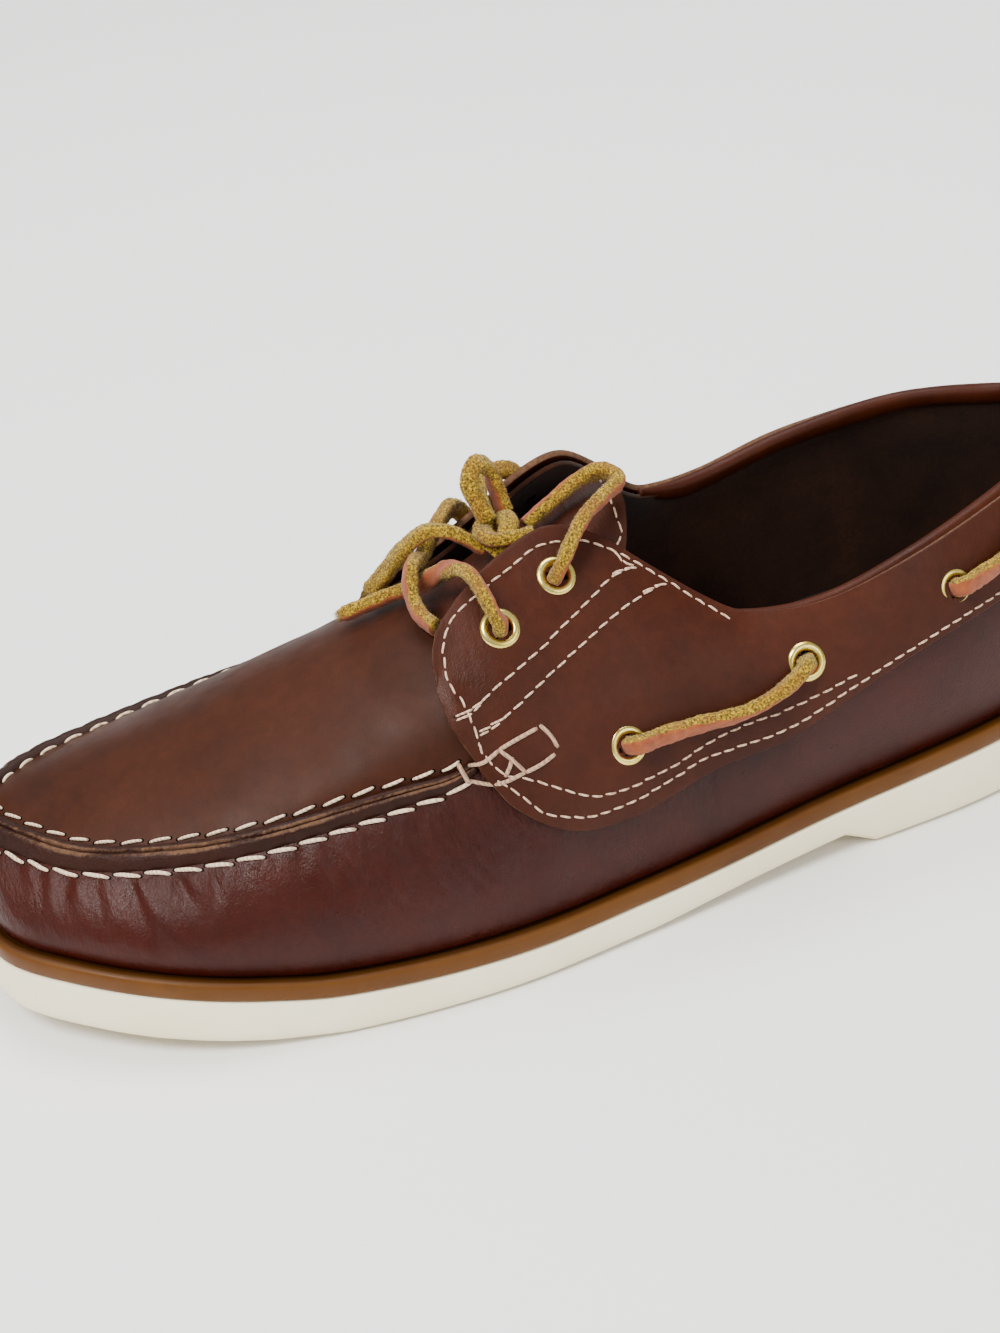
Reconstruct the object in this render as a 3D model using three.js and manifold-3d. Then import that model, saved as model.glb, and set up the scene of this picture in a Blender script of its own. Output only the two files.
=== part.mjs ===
// A men's boat shoe, left foot, standing empty on its sole.
// Millimetres. X is across the shoe (+X lateral, the outer side), -Y points to the toe, +Z is up.
// The origin lies on the floor under the middle of the shoe.
import * as THREE from 'three';
import { mergeVertices } from 'three/addons/utils/BufferGeometryUtils.js';
import Module from 'manifold-3d';

const wasm = await Module();
wasm.setup();

// ---------------------------------------------------------------- driving dimensions

const SHOE_LENGTH = 300; // over the sole, toe tip to heel tip
const HALF_LENGTH = SHOE_LENGTH / 2;
const GAP = 0.3; // clearance between pieces that touch
const LEDGE = 3.8; // welt showing outside the upper
const WALL = 2.2; // leather of the upper with its lining
const BAND = 5; // height of the tan midsole band
const BAND_INSET = 0.4; // the band sits this far inside the outsole's edge
const SOLE_CHAMFER = 1.8; // bevel along the outsole's lower edge
const INSOLE_THICKNESS = 3.2;
const TONGUE_THICKNESS = 1.8;
const LACE_DIAMETER = 4.2;
const SEAM_RIDGE = 2.2; // the moccasin seam stands this far above the plug
const EYELET = { hole: 2.6, barrel: 3.1, flange: 4.9, height: 1.2 }; // radii, and the rim's height

// Outline of the sole: x of each side at stations along it.
const OUTLINE = [
  { y: -150, lateral: -10, medial: -10 },
  { y: -146.5, lateral: 10, medial: -28.5 },
  { y: -134, lateral: 24.8, medial: -42.5 },
  { y: -112, lateral: 40.3, medial: -51 },
  { y: -80, lateral: 49.8, medial: -54.5 },
  { y: -40, lateral: 54, medial: -51 },
  { y: 0, lateral: 50.7, medial: -43.5 },
  { y: 45, lateral: 45.6, medial: -38.5 },
  { y: 95, lateral: 42, medial: -38 },
  { y: 128, lateral: 32.4, medial: -29.5 },
  { y: 145, lateral: 18, medial: -14.5 },
  { y: 150, lateral: 2, medial: 2 },
];

// Side view of the sole: height of the tread and of the joint between outsole and band.
const SOLE_PROFILE = [
  { y: -150, tread: 7.5, joint: 20.2 },
  { y: -132, tread: 6, joint: 18.6 },
  { y: -114, tread: 4.2, joint: 16.4 },
  { y: -95, tread: 1.6, joint: 13.2 },
  { y: -78, tread: 0, joint: 10.6 },
  { y: -30, tread: 0, joint: 8.8 },
  { y: 0, tread: 0.5, joint: 9.2 },
  { y: 25, tread: 2.6, joint: 10.2 },
  { y: 54, tread: 4.6, joint: 12.4 },
  { y: 62.5, tread: 0, joint: 13.1 },
  { y: 90, tread: 0, joint: 14.9 },
  { y: 118, tread: 0, joint: 15.2 },
  { y: 150, tread: 0, joint: 13.6 },
];
const TREAD_STATIONS = SOLE_PROFILE.map((row) => row.y).slice(1, -1);

// The upper's wall from the toe to the end of the moccasin seam. Each row: where it leaves the
// sole (soleY), its top point on the seam, and how far it swells low down and near the top.
const SEAM_WALL = {
  lateral: [
    { soleY: -150, x: -18, y: -138.5, z: 44.6, low: 2.4, high: 7, drop: 2.5 },
    { soleY: -142.5, x: -8.5, y: -136, z: 44.6, low: 2.4, high: 7, drop: 2.5 },
    { soleY: -131, x: 8.5, y: -123.5, z: 43.8, low: 2.6, high: 8, drop: 3 },
    { soleY: -110, x: 20.5, y: -106, z: 44.8, low: 2.8, high: 9, drop: 4 },
    { soleY: -86, x: 29.8, y: -85.3, z: 47.4, low: 2.6, high: 9, drop: 5 },
    { soleY: -58, x: 35.6, y: -56, z: 50.8, low: 2.2, high: 9, drop: 6 },
    { soleY: -37, x: 38.4, y: -37, z: 51.8, low: 2, high: 8, drop: 8 },
  ],
  medial: [
    { soleY: -150, x: -18, y: -138.5, z: 44.6, low: 2.4, high: 7, drop: 2.5 },
    { soleY: -143, x: -26.5, y: -135, z: 44.8, low: 2.4, high: 7, drop: 2.5 },
    { soleY: -131, x: -33.6, y: -124.5, z: 45.2, low: 2.4, high: 6, drop: 3 },
    { soleY: -108, x: -37, y: -104.5, z: 46.4, low: 2.4, high: 6, drop: 4 },
    { soleY: -82, x: -39, y: -80, z: 48, low: 2.2, high: 7, drop: 5 },
    { soleY: -55, x: -38.8, y: -53, z: 50, low: 2.2, high: 7, drop: 6 },
    { soleY: -35, x: -37.6, y: -35, z: 51.2, low: 2, high: 7, drop: 8 },
  ],
};

// The plug between the two seams: how far its middle rises, how square its shoulders are, and
// how far the rise leans to the lateral side.
const PLUG = [
  { along: 0, rise: 0, power: 0.9, skew: 1 },
  { along: 0.18, rise: 3.4, power: 0.9, skew: 1 },
  { along: 0.42, rise: 8.2, power: 0.85, skew: 0.98 },
  { along: 0.66, rise: 13.8, power: 0.76, skew: 0.94 },
  { along: 0.85, rise: 19.4, power: 0.67, skew: 0.89 },
  { along: 1, rise: 24, power: 0.6, skew: 0.85 },
];

// The wall behind the seam: eyestay, then throat, then collar, to the heel.
const QUARTER_WALL = {
  lateral: [
    { soleY: -33, x: 22.8, y: -34.8, z: 74.4, low: 2, high: 14.2, drop: 17 },
    { soleY: -22, x: 18.2, y: -25, z: 82.4, low: 2.4, high: 19, drop: 18 },
    { soleY: -12, x: 13.2, y: -12.5, z: 87.2, low: 2.8, high: 22, drop: 19 },
    { soleY: -1, x: 10.4, y: -1, z: 89.4, low: 3, high: 22.6, drop: 19 },
    { soleY: 9, x: 12.4, y: 8.5, z: 86.2, low: 3.2, high: 21, drop: 16 },
    { soleY: 19, x: 17.6, y: 18, z: 78.6, low: 3.4, high: 17.5, drop: 12 },
    { soleY: 28, x: 23.6, y: 27.5, z: 70.8, low: 3.6, high: 16, drop: 11 },
    { soleY: 37, x: 28.8, y: 36.5, z: 65.6, low: 3.6, high: 14.5, drop: 11 },
    { soleY: 56, x: 32.6, y: 55, z: 64.9, low: 3.6, high: 12.5, drop: 13 },
    { soleY: 80, x: 32, y: 79, z: 69.4, low: 3.2, high: 10, drop: 16 },
    { soleY: 108, x: 26, y: 106.5, z: 74.6, low: 2.8, high: 9, drop: 20 },
    { soleY: 133, x: 15.8, y: 130.5, z: 78.2, low: 2.4, high: 6.5, drop: 24 },
    { soleY: 143.5, x: 9.8, y: 141.2, z: 80.3, low: 2.2, high: 4.6, drop: 27 },
    { soleY: 150, x: 1.7, y: 145, z: 81.2, low: 2, high: 3.6, drop: 28 },
  ],
  medial: [
    { soleY: -31, x: -24.4, y: -33.4, z: 68.8, low: 2, high: 10, drop: 14 },
    { soleY: -20, x: -21, y: -21.5, z: 75.4, low: 2.2, high: 13, drop: 16 },
    { soleY: -9, x: -17.4, y: -9.4, z: 84, low: 2.4, high: 16, drop: 19 },
    { soleY: 3, x: -13.6, y: 2.6, z: 93.6, low: 2.6, high: 18, drop: 22 },
    { soleY: 13, x: -13.6, y: 12.4, z: 95.6, low: 2.8, high: 17, drop: 21 },
    { soleY: 22, x: -18, y: 22.4, z: 87.6, low: 3, high: 14, drop: 16 },
    { soleY: 30, x: -23, y: 31, z: 77.6, low: 3, high: 12, drop: 12 },
    { soleY: 38, x: -26.6, y: 38.2, z: 73, low: 3, high: 10, drop: 12 },
    { soleY: 56, x: -29.6, y: 55, z: 72.4, low: 3, high: 9, drop: 14 },
    { soleY: 80, x: -29.6, y: 79, z: 76.8, low: 2.8, high: 8, drop: 18 },
    { soleY: 108, x: -24.6, y: 107, z: 81, low: 2.6, high: 7.5, drop: 22 },
    { soleY: 133, x: -13.4, y: 131, z: 81.6, low: 2.4, high: 6, drop: 25 },
    { soleY: 143.5, x: -6.4, y: 141.4, z: 81.4, low: 2.2, high: 4.6, drop: 27 },
    { soleY: 150, x: 1.7, y: 145, z: 81.2, low: 2, high: 3.6, drop: 28 },
  ],
};

// The tongue, from under the plug to its free end: centre line, half width and fall to the sides.
const TONGUE = [
  { y: -50, x: 0.5, z: 66.4, half: 19, drop: 5.6 },
  { y: -36, x: 0.5, z: 71.6, half: 21.5, drop: 9 },
  { y: -20, x: 0, z: 78.8, half: 21, drop: 13.5 },
  { y: -4, x: -1, z: 85.8, half: 20, drop: 14.5 },
  { y: 8, x: -2, z: 90.8, half: 18.5, drop: 15 },
  { y: 17, x: -2.4, z: 93, half: 17.5, drop: 15 },
  { y: 21, x: -2.6, z: 93.8, half: 14, drop: 9.6 },
];

// Eyelets: where each sits along the sole, and at what share of the wall's curve.
const EYELETS = [
  { name: 'throat_rear', side: 'lateral', soleY: -4.5, share: 0.89 },
  { name: 'throat_front', side: 'lateral', soleY: -19, share: 0.875 },
  { name: 'side_1', side: 'lateral', soleY: -0.5, share: 0.395 },
  { name: 'side_2', side: 'lateral', soleY: 48, share: 0.735 },
  { name: 'side_3', side: 'lateral', soleY: 89.5, share: 0.765 },
  { name: 'side_4', side: 'lateral', soleY: 128, share: 0.84 },
  { name: 'throat_rear', side: 'medial', soleY: 4.5, share: 0.875 },
  { name: 'throat_front', side: 'medial', soleY: -9.5, share: 0.9 },
  { name: 'side_1', side: 'medial', soleY: 3, share: 0.385 },
  { name: 'side_2', side: 'medial', soleY: 50.5, share: 0.66 },
  { name: 'side_3', side: 'medial', soleY: 90.5, share: 0.72 },
  { name: 'side_4', side: 'medial', soleY: 128, share: 0.82 },
];

// Stretches of lace along the sides, from one eyelet to the next, and how far they sag.
const LACE_BARS = [
  { name: 'front', from: 'side_1', to: 'side_2', sag: 0.1 },
  { name: 'rear', from: 'side_3', to: 'side_4', sag: 0.02 },
];

// The lace over the throat, each strand as the points that its centre line passes.
const KNOT = { x: 3, y: -9.5, z: 88, radius: 4.2 };
const LACE_ROUTES = {
  // from the rear throat eyelet up over the tongue's end and back to the knot
  lace_loop_large: [
    [18.4, -3.9, 83], [19.7, -3.8, 84.4], [20.2, -2.4, 87], [17.8, 1.4, 90.8], [14.2, 6.6, 94.2],
    [10, 13.4, 95.6], [6.2, 18.6, 96.4], [2.2, 16.6, 97.7], [1.2, 10.6, 96.6],
    [2.2, 2.6, 93.4], [3.4, -4.4, 90.3],
  ],
  // a small loop standing at the knot
  lace_loop_small: [
    [0.8, -12.7, 92.6], [-0.6, -14, 97], [-2.2, -15, 102.2], [-3.8, -12.6, 105.2],
    [-5, -9.2, 103], [-4.6, -7.8, 97], [-2.8, -7.2, 91.8],
  ],
  // an end that arches forward from the knot and down onto the plug
  lace_end_arched: [
    [3.4, -15.2, 86.8], [1.6, -18.6, 89.6], [-0.4, -22.4, 92], [-2.6, -26.8, 92.4],
    [-5.6, -32.2, 87.8], [-9, -36.8, 80.8], [-11.8, -40.6, 75.8],
  ],
  // from the front throat eyelet over the eyestay's edge, ending on the plug
  lace_end_low: [
    [24.2, -20.7, 77.4], [25.9, -20.8, 79.4], [25, -22, 83], [20.8, -22.8, 87],
    [14.6, -23.6, 88.8], [8, -26, 87], [2.4, -29.4, 82.8], [-1.6, -33, 79.4],
    [-4.2, -37.4, 77.8], [-5.8, -42, 76.2], [-8, -49.4, 74],
  ],
  // from the medial rear eyelet over the medial eyestay to the knot
  lace_strand_medial: [
    [-20, 4.8, 86.2], [-21.5, 4.5, 87.4], [-23.2, 2.4, 90.6], [-21.6, -3.6, 92.6],
    [-16.4, -8.8, 91.4], [-9.4, -10.2, 89.6], [-2.8, -10.2, 87.8],
  ],
};
// The strand that crosses from the medial front eyelet to under the lateral eyestay.
const CROSSING_ROUTE = [
  [-22.4, -9.3, 78.1], [-23.9, -9.6, 79.2], [-24.8, -11.2, 82.6], [-20.2, -15.2, 87.2],
  [-12.4, -21.4, 87.6], [-7.2, -26, 86.2], [-3.4, -29.2, 85.4], [1.6, -33, 86.8], [4.8, -34.8, 84],
  [8.2, -35.4, 81], [12.4, -35, 79.2], [17, -33.6, 78.4],
];

// ---------------------------------------------------------------- curves through the tables

const SIDES = ['lateral', 'medial'];
const range = (count) => Array.from({ length: count }, (_, i) => i);

// Value of every column at `at`, by a smooth curve through the rows, which are ordered by `key`.
function interpolate(rows, key, at, smooth = true) {
  let i = 0;
  while (i < rows.length - 2 && at > rows[i + 1][key]) i += 1;
  const span = rows[i + 1][key] - rows[i][key];
  const t = THREE.MathUtils.clamp((at - rows[i][key]) / span, 0, 1);
  const before = rows[Math.max(i - 1, 0)];
  const after = rows[Math.min(i + 2, rows.length - 1)];
  const values = {};
  for (const name of Object.keys(rows[0])) {
    const [a, b] = [rows[i][name], rows[i + 1][name]];
    const slopeA = ((b - before[name]) / (rows[i + 1][key] - before[key])) * span;
    const slopeB = ((after[name] - a) / (after[key] - rows[i][key])) * span;
    const line = a + (b - a) * t;
    const ease = t * (1 - t) * ((slopeA - (b - a)) * (1 - t) - (slopeB - (b - a)) * t);
    values[name] = smooth ? line + ease : line;
  }
  return values;
}

// The two halves of the outline, toe tip to heel tip, as points with an outward direction.
function traceOutline() {
  const ring = [
    ...OUTLINE.map((row) => new THREE.Vector3(row.lateral, row.y, 0)),
    ...OUTLINE.slice(1, -1)
      .reverse()
      .map((row) => new THREE.Vector3(row.medial, row.y, 0)),
  ];
  const curve = new THREE.CatmullRomCurve3(ring, true, 'centripetal');
  const steps = 480;
  const points = range(steps).map((i) => {
    const tangent = curve.getTangent(i / steps);
    return {
      point: curve.getPoint(i / steps),
      out: new THREE.Vector3(tangent.y, -tangent.x, 0),
    };
  });
  const lengthwise = points.map((p) => p.point.y);
  const toe = lengthwise.indexOf(Math.min(...lengthwise));
  const heel = lengthwise.indexOf(Math.max(...lengthwise));
  const walk = (count, step) => range(count + 1).map((i) => points[(toe + i * step + steps) % steps]);
  const lateralCount = (heel - toe + steps) % steps;
  return { lateral: walk(lateralCount, 1), medial: walk(steps - lateralCount, -1) };
}
const outline = traceOutline();

// One half of the outline moved inwards, with the share of its length covered at each point.
function insetOutline(side, inset) {
  const points = outline[side].map((p) => ({
    point: p.point.clone().addScaledVector(p.out, -inset),
    out: p.out,
    along: 0,
  }));
  for (let i = 1; i < points.length; i += 1) {
    points[i].along = points[i - 1].along + points[i].point.distanceTo(points[i - 1].point);
  }
  const total = points[points.length - 1].along;
  points.forEach((p) => {
    p.along /= total;
  });
  return points;
}

function outlineAt(points, key, at) {
  let i = 0;
  while (i < points.length - 2 && at > key(points[i + 1])) i += 1;
  const t = THREE.MathUtils.clamp(
    (at - key(points[i])) / (key(points[i + 1]) - key(points[i])), 0, 1);
  return {
    point: points[i].point.clone().lerp(points[i + 1].point, t),
    out: points[i].out.clone().lerp(points[i + 1].out, t).normalize(),
    along: THREE.MathUtils.lerp(points[i].along, points[i + 1].along, t),
  };
}
const byY = (p) => p.point.y;
const byLength = (p) => p.along;

const treadZ = (y) => interpolate(SOLE_PROFILE, 'y', y, false).tread;
const jointZ = (y) => interpolate(SOLE_PROFILE, 'y', y).joint;
const bandTopZ = (y) => jointZ(y) + BAND;

// ---------------------------------------------------------------- closed bodies

// Collects the triangles of one closed body.
class Body {
  constructor() {
    this.positions = [];
  }
  triangle(a, b, c) {
    this.positions.push(...a.toArray(), ...b.toArray(), ...c.toArray());
  }
  quad(a, b, c, d) {
    this.triangle(a, b, c);
    this.triangle(a, c, d);
  }
  // Joins two rows of points with the outside on the left of the direction of travel.
  strip(rowA, rowB) {
    for (let i = 0; i < rowA.length - 1; i += 1) {
      this.quad(rowA[i], rowB[i], rowB[i + 1], rowA[i + 1]);
    }
  }
  geometry() {
    const loose = new THREE.BufferGeometry();
    loose.setAttribute('position', new THREE.Float32BufferAttribute(this.positions, 3));
    return withoutSlivers(mergeVertices(loose, 1e-3));
  }
}

// Leaves out the triangles that fell to a line where rows meet at a tip.
function withoutSlivers(geometry) {
  const index = geometry.getIndex().array;
  const kept = [];
  for (let i = 0; i < index.length; i += 3) {
    const [a, b, c] = index.slice(i, i + 3);
    if (a !== b && b !== c && c !== a) kept.push(a, b, c);
  }
  geometry.setIndex(kept);
  return geometry;
}

function toManifold(geometry) {
  const bare = mergeVertices(stripAttributes(geometry), 1e-4);
  return new wasm.Manifold(
    new wasm.Mesh({
      numProp: 3,
      vertProperties: new Float32Array(bare.getAttribute('position').array),
      triVerts: new Uint32Array(bare.getIndex().array),
    }),
  );
}

function stripAttributes(geometry) {
  const bare = geometry.clone();
  bare.deleteAttribute('normal');
  bare.deleteAttribute('uv');
  return bare;
}

function fromManifold(solid) {
  const mesh = solid.getMesh();
  const geometry = new THREE.BufferGeometry();
  geometry.setAttribute('position', new THREE.BufferAttribute(mesh.vertProperties, 3));
  geometry.setIndex(new THREE.BufferAttribute(mesh.triVerts, 1));
  return geometry;
}

// Skin through closed sections, each a list of points counterclockwise seen from the heel,
// with the two ends closed by fans.
function loft(sections) {
  const body = new Body();
  for (let i = 0; i < sections.length - 1; i += 1) {
    body.strip([...sections[i], sections[i][0]], [...sections[i + 1], sections[i + 1][0]]);
  }
  const first = sections[0];
  const last = sections[sections.length - 1];
  for (let k = 1; k < first.length - 1; k += 1) {
    body.triangle(first[0], first[k], first[k + 1]);
    body.triangle(last[0], last[k + 1], last[k]);
  }
  return body.geometry();
}

// ---------------------------------------------------------------- sole

// Stations along the sole, closer together towards the round tips.
function soleStations(count, extra) {
  const even = Array.from({ length: count + 1 }, (_, i) =>
    -HALF_LENGTH * Math.cos((Math.PI * i) / count));
  const clear = even.filter((y) => extra.every((e) => Math.abs(e - y) > 1.5));
  return [...clear, ...extra].sort((a, b) => a - b);
}

// A slab of the sole from layers {inset, z(y)}, listed from the bottom up.
function soleSlab(layers, stations) {
  const halves = layers.map(({ inset }) => ({
    lateral: insetOutline('lateral', inset),
    medial: insetOutline('medial', inset),
  }));
  const pointAt = (layer, side, y) => {
    const half = halves[layer][side];
    const tip = y < 0 ? half[0] : half[half.length - 1];
    const shrunk = (y * Math.abs(tip.point.y)) / HALF_LENGTH;
    const { point } = outlineAt(half, byY, shrunk);
    point.z = layers[layer].z(shrunk);
    return point;
  };
  const up = layers.map((_, layer) => layer);
  const down = [...up].reverse();
  return loft(
    stations.map((y) => [
      ...up.map((layer) => pointAt(layer, 'lateral', y)),
      ...down.map((layer) => pointAt(layer, 'medial', y)),
    ]),
  );
}

function outsoleGeometry() {
  return soleSlab(
    [
      { inset: SOLE_CHAMFER, z: treadZ },
      { inset: 0, z: (y) => treadZ(y) + SOLE_CHAMFER },
      { inset: 0, z: jointZ },
    ],
    soleStations(40, TREAD_STATIONS),
  );
}

function midsoleGeometry() {
  return soleSlab(
    [
      { inset: BAND_INSET, z: (y) => jointZ(y) + GAP },
      { inset: BAND_INSET, z: (y) => bandTopZ(y) - 0.8 },
      { inset: BAND_INSET + 0.8, z: bandTopZ },
    ],
    soleStations(40, []),
  );
}

function insoleGeometry() {
  const inset = LEDGE + WALL + 1;
  return soleSlab(
    [
      { inset, z: (y) => bandTopZ(y) + GAP },
      { inset, z: (y) => bandTopZ(y) + GAP + INSOLE_THICKNESS },
    ],
    soleStations(36, []),
  );
}

// ---------------------------------------------------------------- upper

const WALL_STEPS = 8; // columns from the sole to the foot of the seam's ridge
const RIDGE_FOOT = 0.86; // share of the wall's height where the ridge starts
const RIDGE_COLUMNS = [0.9, 0.94, 0.975]; // columns that the ridge lifts
const WALL_COLUMNS = [
  ...Array.from({ length: WALL_STEPS + 1 }, (_, i) => (RIDGE_FOOT * i) / WALL_STEPS),
  ...RIDGE_COLUMNS,
  1,
];
const EYESTAY_COLUMNS = [0.06, 0.12, 0.2]; // on the plug, under where an eyestay starts
const PLUG_COLUMNS = [0.29, 0.39, 0.5];
const FRONT_ROWS = 17;
const REAR_ROWS = 24;
const SEAM_SHARE = 0.62; // share of a quarter's height in its lower columns
const LOW_SWELL_AT = 0.42; // height of the lower swell, as a share of the wall's height

const feather = {
  lateral: insetOutline('lateral', LEDGE),
  medial: insetOutline('medial', LEDGE),
};

// Rows of a wall table, keyed by the share of the feather line's length.
function keyedRows(side, rows) {
  const tips = { [-HALF_LENGTH]: 0, [HALF_LENGTH]: 1 };
  return rows.map((row) => {
    const along = tips[row.soleY] ?? outlineAt(feather[side], byY, row.soleY).along;
    return { ...row, along };
  });
}

// Both sides' rows, each carried one row past the toe or heel tip by the other side's row, so
// that the curve runs smoothly round the tip.
function pairedRows(table, tip) {
  const own = Object.fromEntries(SIDES.map((side) => [side, keyedRows(side, table[side])]));
  const other = { lateral: own.medial, medial: own.lateral };
  const past = (row) => ({ ...row, along: 2 * tip - row.along });
  return Object.fromEntries(
    SIDES.map((side) => {
      const around = past(tip === 0 ? other[side][1] : other[side].at(-2));
      return [side, tip === 0 ? [around, ...own[side]] : [...own[side], around]];
    }),
  );
}
const seamRows = pairedRows(SEAM_WALL, 0);
const quarterRows = pairedRows(QUARTER_WALL, 1);

// The wall's curve from the feather line to its top at one place along a side.
function wallCurve(side, rows, along) {
  const row = interpolate(rows, 'along', along);
  const foot = outlineAt(feather[side], byLength, along);
  const low = foot.point;
  low.z = bandTopZ(low.y) + GAP;
  const top = new THREE.Vector3(row.x, row.y, row.z);
  const rise = top.z - low.z;
  const lowPull = low.clone().addScaledVector(foot.out, row.low);
  lowPull.z += rise * LOW_SWELL_AT;
  const highPull = top.clone().addScaledVector(foot.out, row.high);
  highPull.z -= row.drop;
  return new THREE.CubicBezierCurve3(low, lowPull, highPull, top);
}

// Point on the plug, `across` it from the lateral seam (0) to the medial one (1).
function plugPoint(lateralTop, medialTop, along, across) {
  const { rise, power, skew } = interpolate(PLUG, 'along', along);
  const point = lateralTop.clone().lerp(medialTop, across);
  point.z += rise * Math.sin(Math.PI * across ** skew) ** power;
  return point;
}

// One row in front of the throat: lateral wall, plug, medial wall.
function frontRow(along) {
  const curves = Object.fromEntries(
    SIDES.map((side) => {
      const end = seamRows[side].at(-1).along;
      return [side, wallCurve(side, seamRows[side], end * along)];
    }),
  );
  const [lateral, medial] = SIDES.map((side) => WALL_COLUMNS.map((t) => curves[side].getPoint(t)));
  const half = [...EYESTAY_COLUMNS, ...PLUG_COLUMNS];
  const across = [...half, ...half.slice(0, -1).map((share) => 1 - share).reverse()];
  const plug = across.map((share) => plugPoint(lateral.at(-1), medial.at(-1), along, share));
  return [...lateral, ...plug, ...medial.reverse()];
}

// One side of a row behind the seam, from the feather line to the top edge.
function quarterRow(side, along) {
  const start = quarterRows[side][0].along;
  const curve = wallCurve(side, quarterRows[side], start + (1 - start) * along);
  const upper = EYESTAY_COLUMNS.length;
  return [
    ...WALL_COLUMNS.map((t) => curve.getPoint(SEAM_SHARE * t)),
    ...range(upper).map((i) => curve.getPoint(SEAM_SHARE + ((1 - SEAM_SHARE) * (i + 1)) / upper)),
  ];
}

// The whole grid of the upper's outer face. Rows behind the seam leave out the throat's columns.
function upperGrid() {
  const front = range(FRONT_ROWS + 1).map((i) => frontRow((i / FRONT_ROWS) ** 1.25));
  const rear = range(REAR_ROWS).map((i) => {
    const along = i / (REAR_ROWS - 1);
    return { lateral: quarterRow('lateral', along), medial: quarterRow('medial', along) };
  });
  return { front, rear };
}

// Vertex directions from the faces around each point, for thickening.
class Skin {
  constructor() {
    this.faces = [];
    this.normals = new Map();
  }
  key(p) {
    return p.toArray().map((v) => Math.round(v * 1e3)).join();
  }
  addStrip(rowA, rowB) {
    for (let i = 0; i < rowA.length - 1; i += 1) {
      this.addFace(rowA[i], rowB[i], rowB[i + 1], rowA[i + 1]);
    }
  }
  addFace(a, b, c, d) {
    this.faces.push([a, b, c, d]);
    const normal = c.clone().sub(a).cross(d.clone().sub(b));
    for (const p of [a, b, c, d]) {
      const sum = this.normals.get(this.key(p)) ?? new THREE.Vector3();
      this.normals.set(this.key(p), sum.add(normal));
    }
  }
  normal(p) {
    return this.normals.get(this.key(p)).clone().normalize();
  }
}

// Where an eyelet sits: its centre on the leather, its outward axis, and the wall curve's row.
function eyeletSeat({ side, soleY, share }) {
  const step = 1;
  const at = (y, t) =>
    wallCurve(side, quarterRows[side], outlineAt(feather[side], byY, y).along).getPoint(t);
  const centre = at(soleY, share);
  const lengthwise = at(soleY + step, share).sub(at(soleY - step, share));
  const upwards = at(soleY, share + 0.02).sub(at(soleY, share - 0.02));
  const axis = lengthwise.cross(upwards).normalize();
  if (side === 'medial') axis.negate();
  return { centre, axis };
}

// Turns a shape made along +Y so that it points along `axis`, and moves it to `centre`.
function seat(geometry, { centre, axis }) {
  const turn = new THREE.Quaternion().setFromUnitVectors(new THREE.Vector3(0, 1, 0), axis);
  return geometry.applyQuaternion(turn).translate(...centre.toArray());
}

function upperGeometry() {
  const holeLength = 6 * WALL;
  const holeSides = 10;
  const holes = EYELETS.map((eyelet) =>
    seat(
      new THREE.CylinderGeometry(EYELET.barrel + GAP, EYELET.barrel + GAP, holeLength, holeSides),
      eyeletSeat(eyelet),
    ),
  );
  return fromManifold(
    holes.reduce((leather, hole) => leather.subtract(toManifold(hole)), toManifold(upperShell())));
}

function upperShell() {
  const { front, rear } = upperGrid();
  const sideCount = rear[0].lateral.length;
  const skin = new Skin();
  for (let i = 0; i < front.length - 1; i += 1) skin.addStrip(front[i], front[i + 1]);
  const lastFront = front[front.length - 1];
  const halves = {
    lateral: [lastFront.slice(0, sideCount), ...rear.map((row) => row.lateral)],
    medial: [lastFront.slice(-sideCount).reverse(), ...rear.map((row) => row.medial)],
  };
  for (let i = 0; i < rear.length; i += 1) {
    skin.addStrip(halves.lateral[i], halves.lateral[i + 1]);
    skin.addStrip(halves.medial[i + 1], halves.medial[i]);
  }

  const ridge = new Map();
  front.forEach((row, i) => {
    const fade = Math.min(1, (front.length - 1 - i) / 2);
    RIDGE_COLUMNS.forEach((_, k) => {
      const height = (k === 1 ? 1 : 0.82) * SEAM_RIDGE * fade;
      ridge.set(skin.key(row[WALL_STEPS + 1 + k]), height);
      ridge.set(skin.key(row[row.length - 2 - WALL_STEPS - k]), height);
    });
  });
  const outer = (p) => p.clone().addScaledVector(skin.normal(p), ridge.get(skin.key(p)) ?? 0);
  const inner = (p) => {
    const offset = p.clone().addScaledVector(skin.normal(p), -WALL);
    if (p.z < bandTopZ(p.y) + 2 * GAP) offset.z = p.z;
    return offset;
  };

  const body = new Body();
  for (const [a, b, c, d] of skin.faces) {
    body.quad(outer(a), outer(b), outer(c), outer(d));
    body.quad(inner(d), inner(c), inner(b), inner(a));
  }
  const rim = (edge) => body.strip(edge.map(inner), edge.map(outer));
  const feet = (rows, at) => rows.map((row) => row.at(at));
  rim(feet(front, 0).reverse());
  rim(feet(halves.lateral, 0).reverse());
  rim(feet(front, -1));
  rim(feet(halves.medial, 0));
  rim(feet(halves.lateral, -1));
  rim(feet(halves.medial, -1).reverse());
  rim(lastFront.slice(sideCount - 1, lastFront.length - sideCount + 1).reverse());
  return body.geometry();
}

// ---------------------------------------------------------------- tongue

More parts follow.
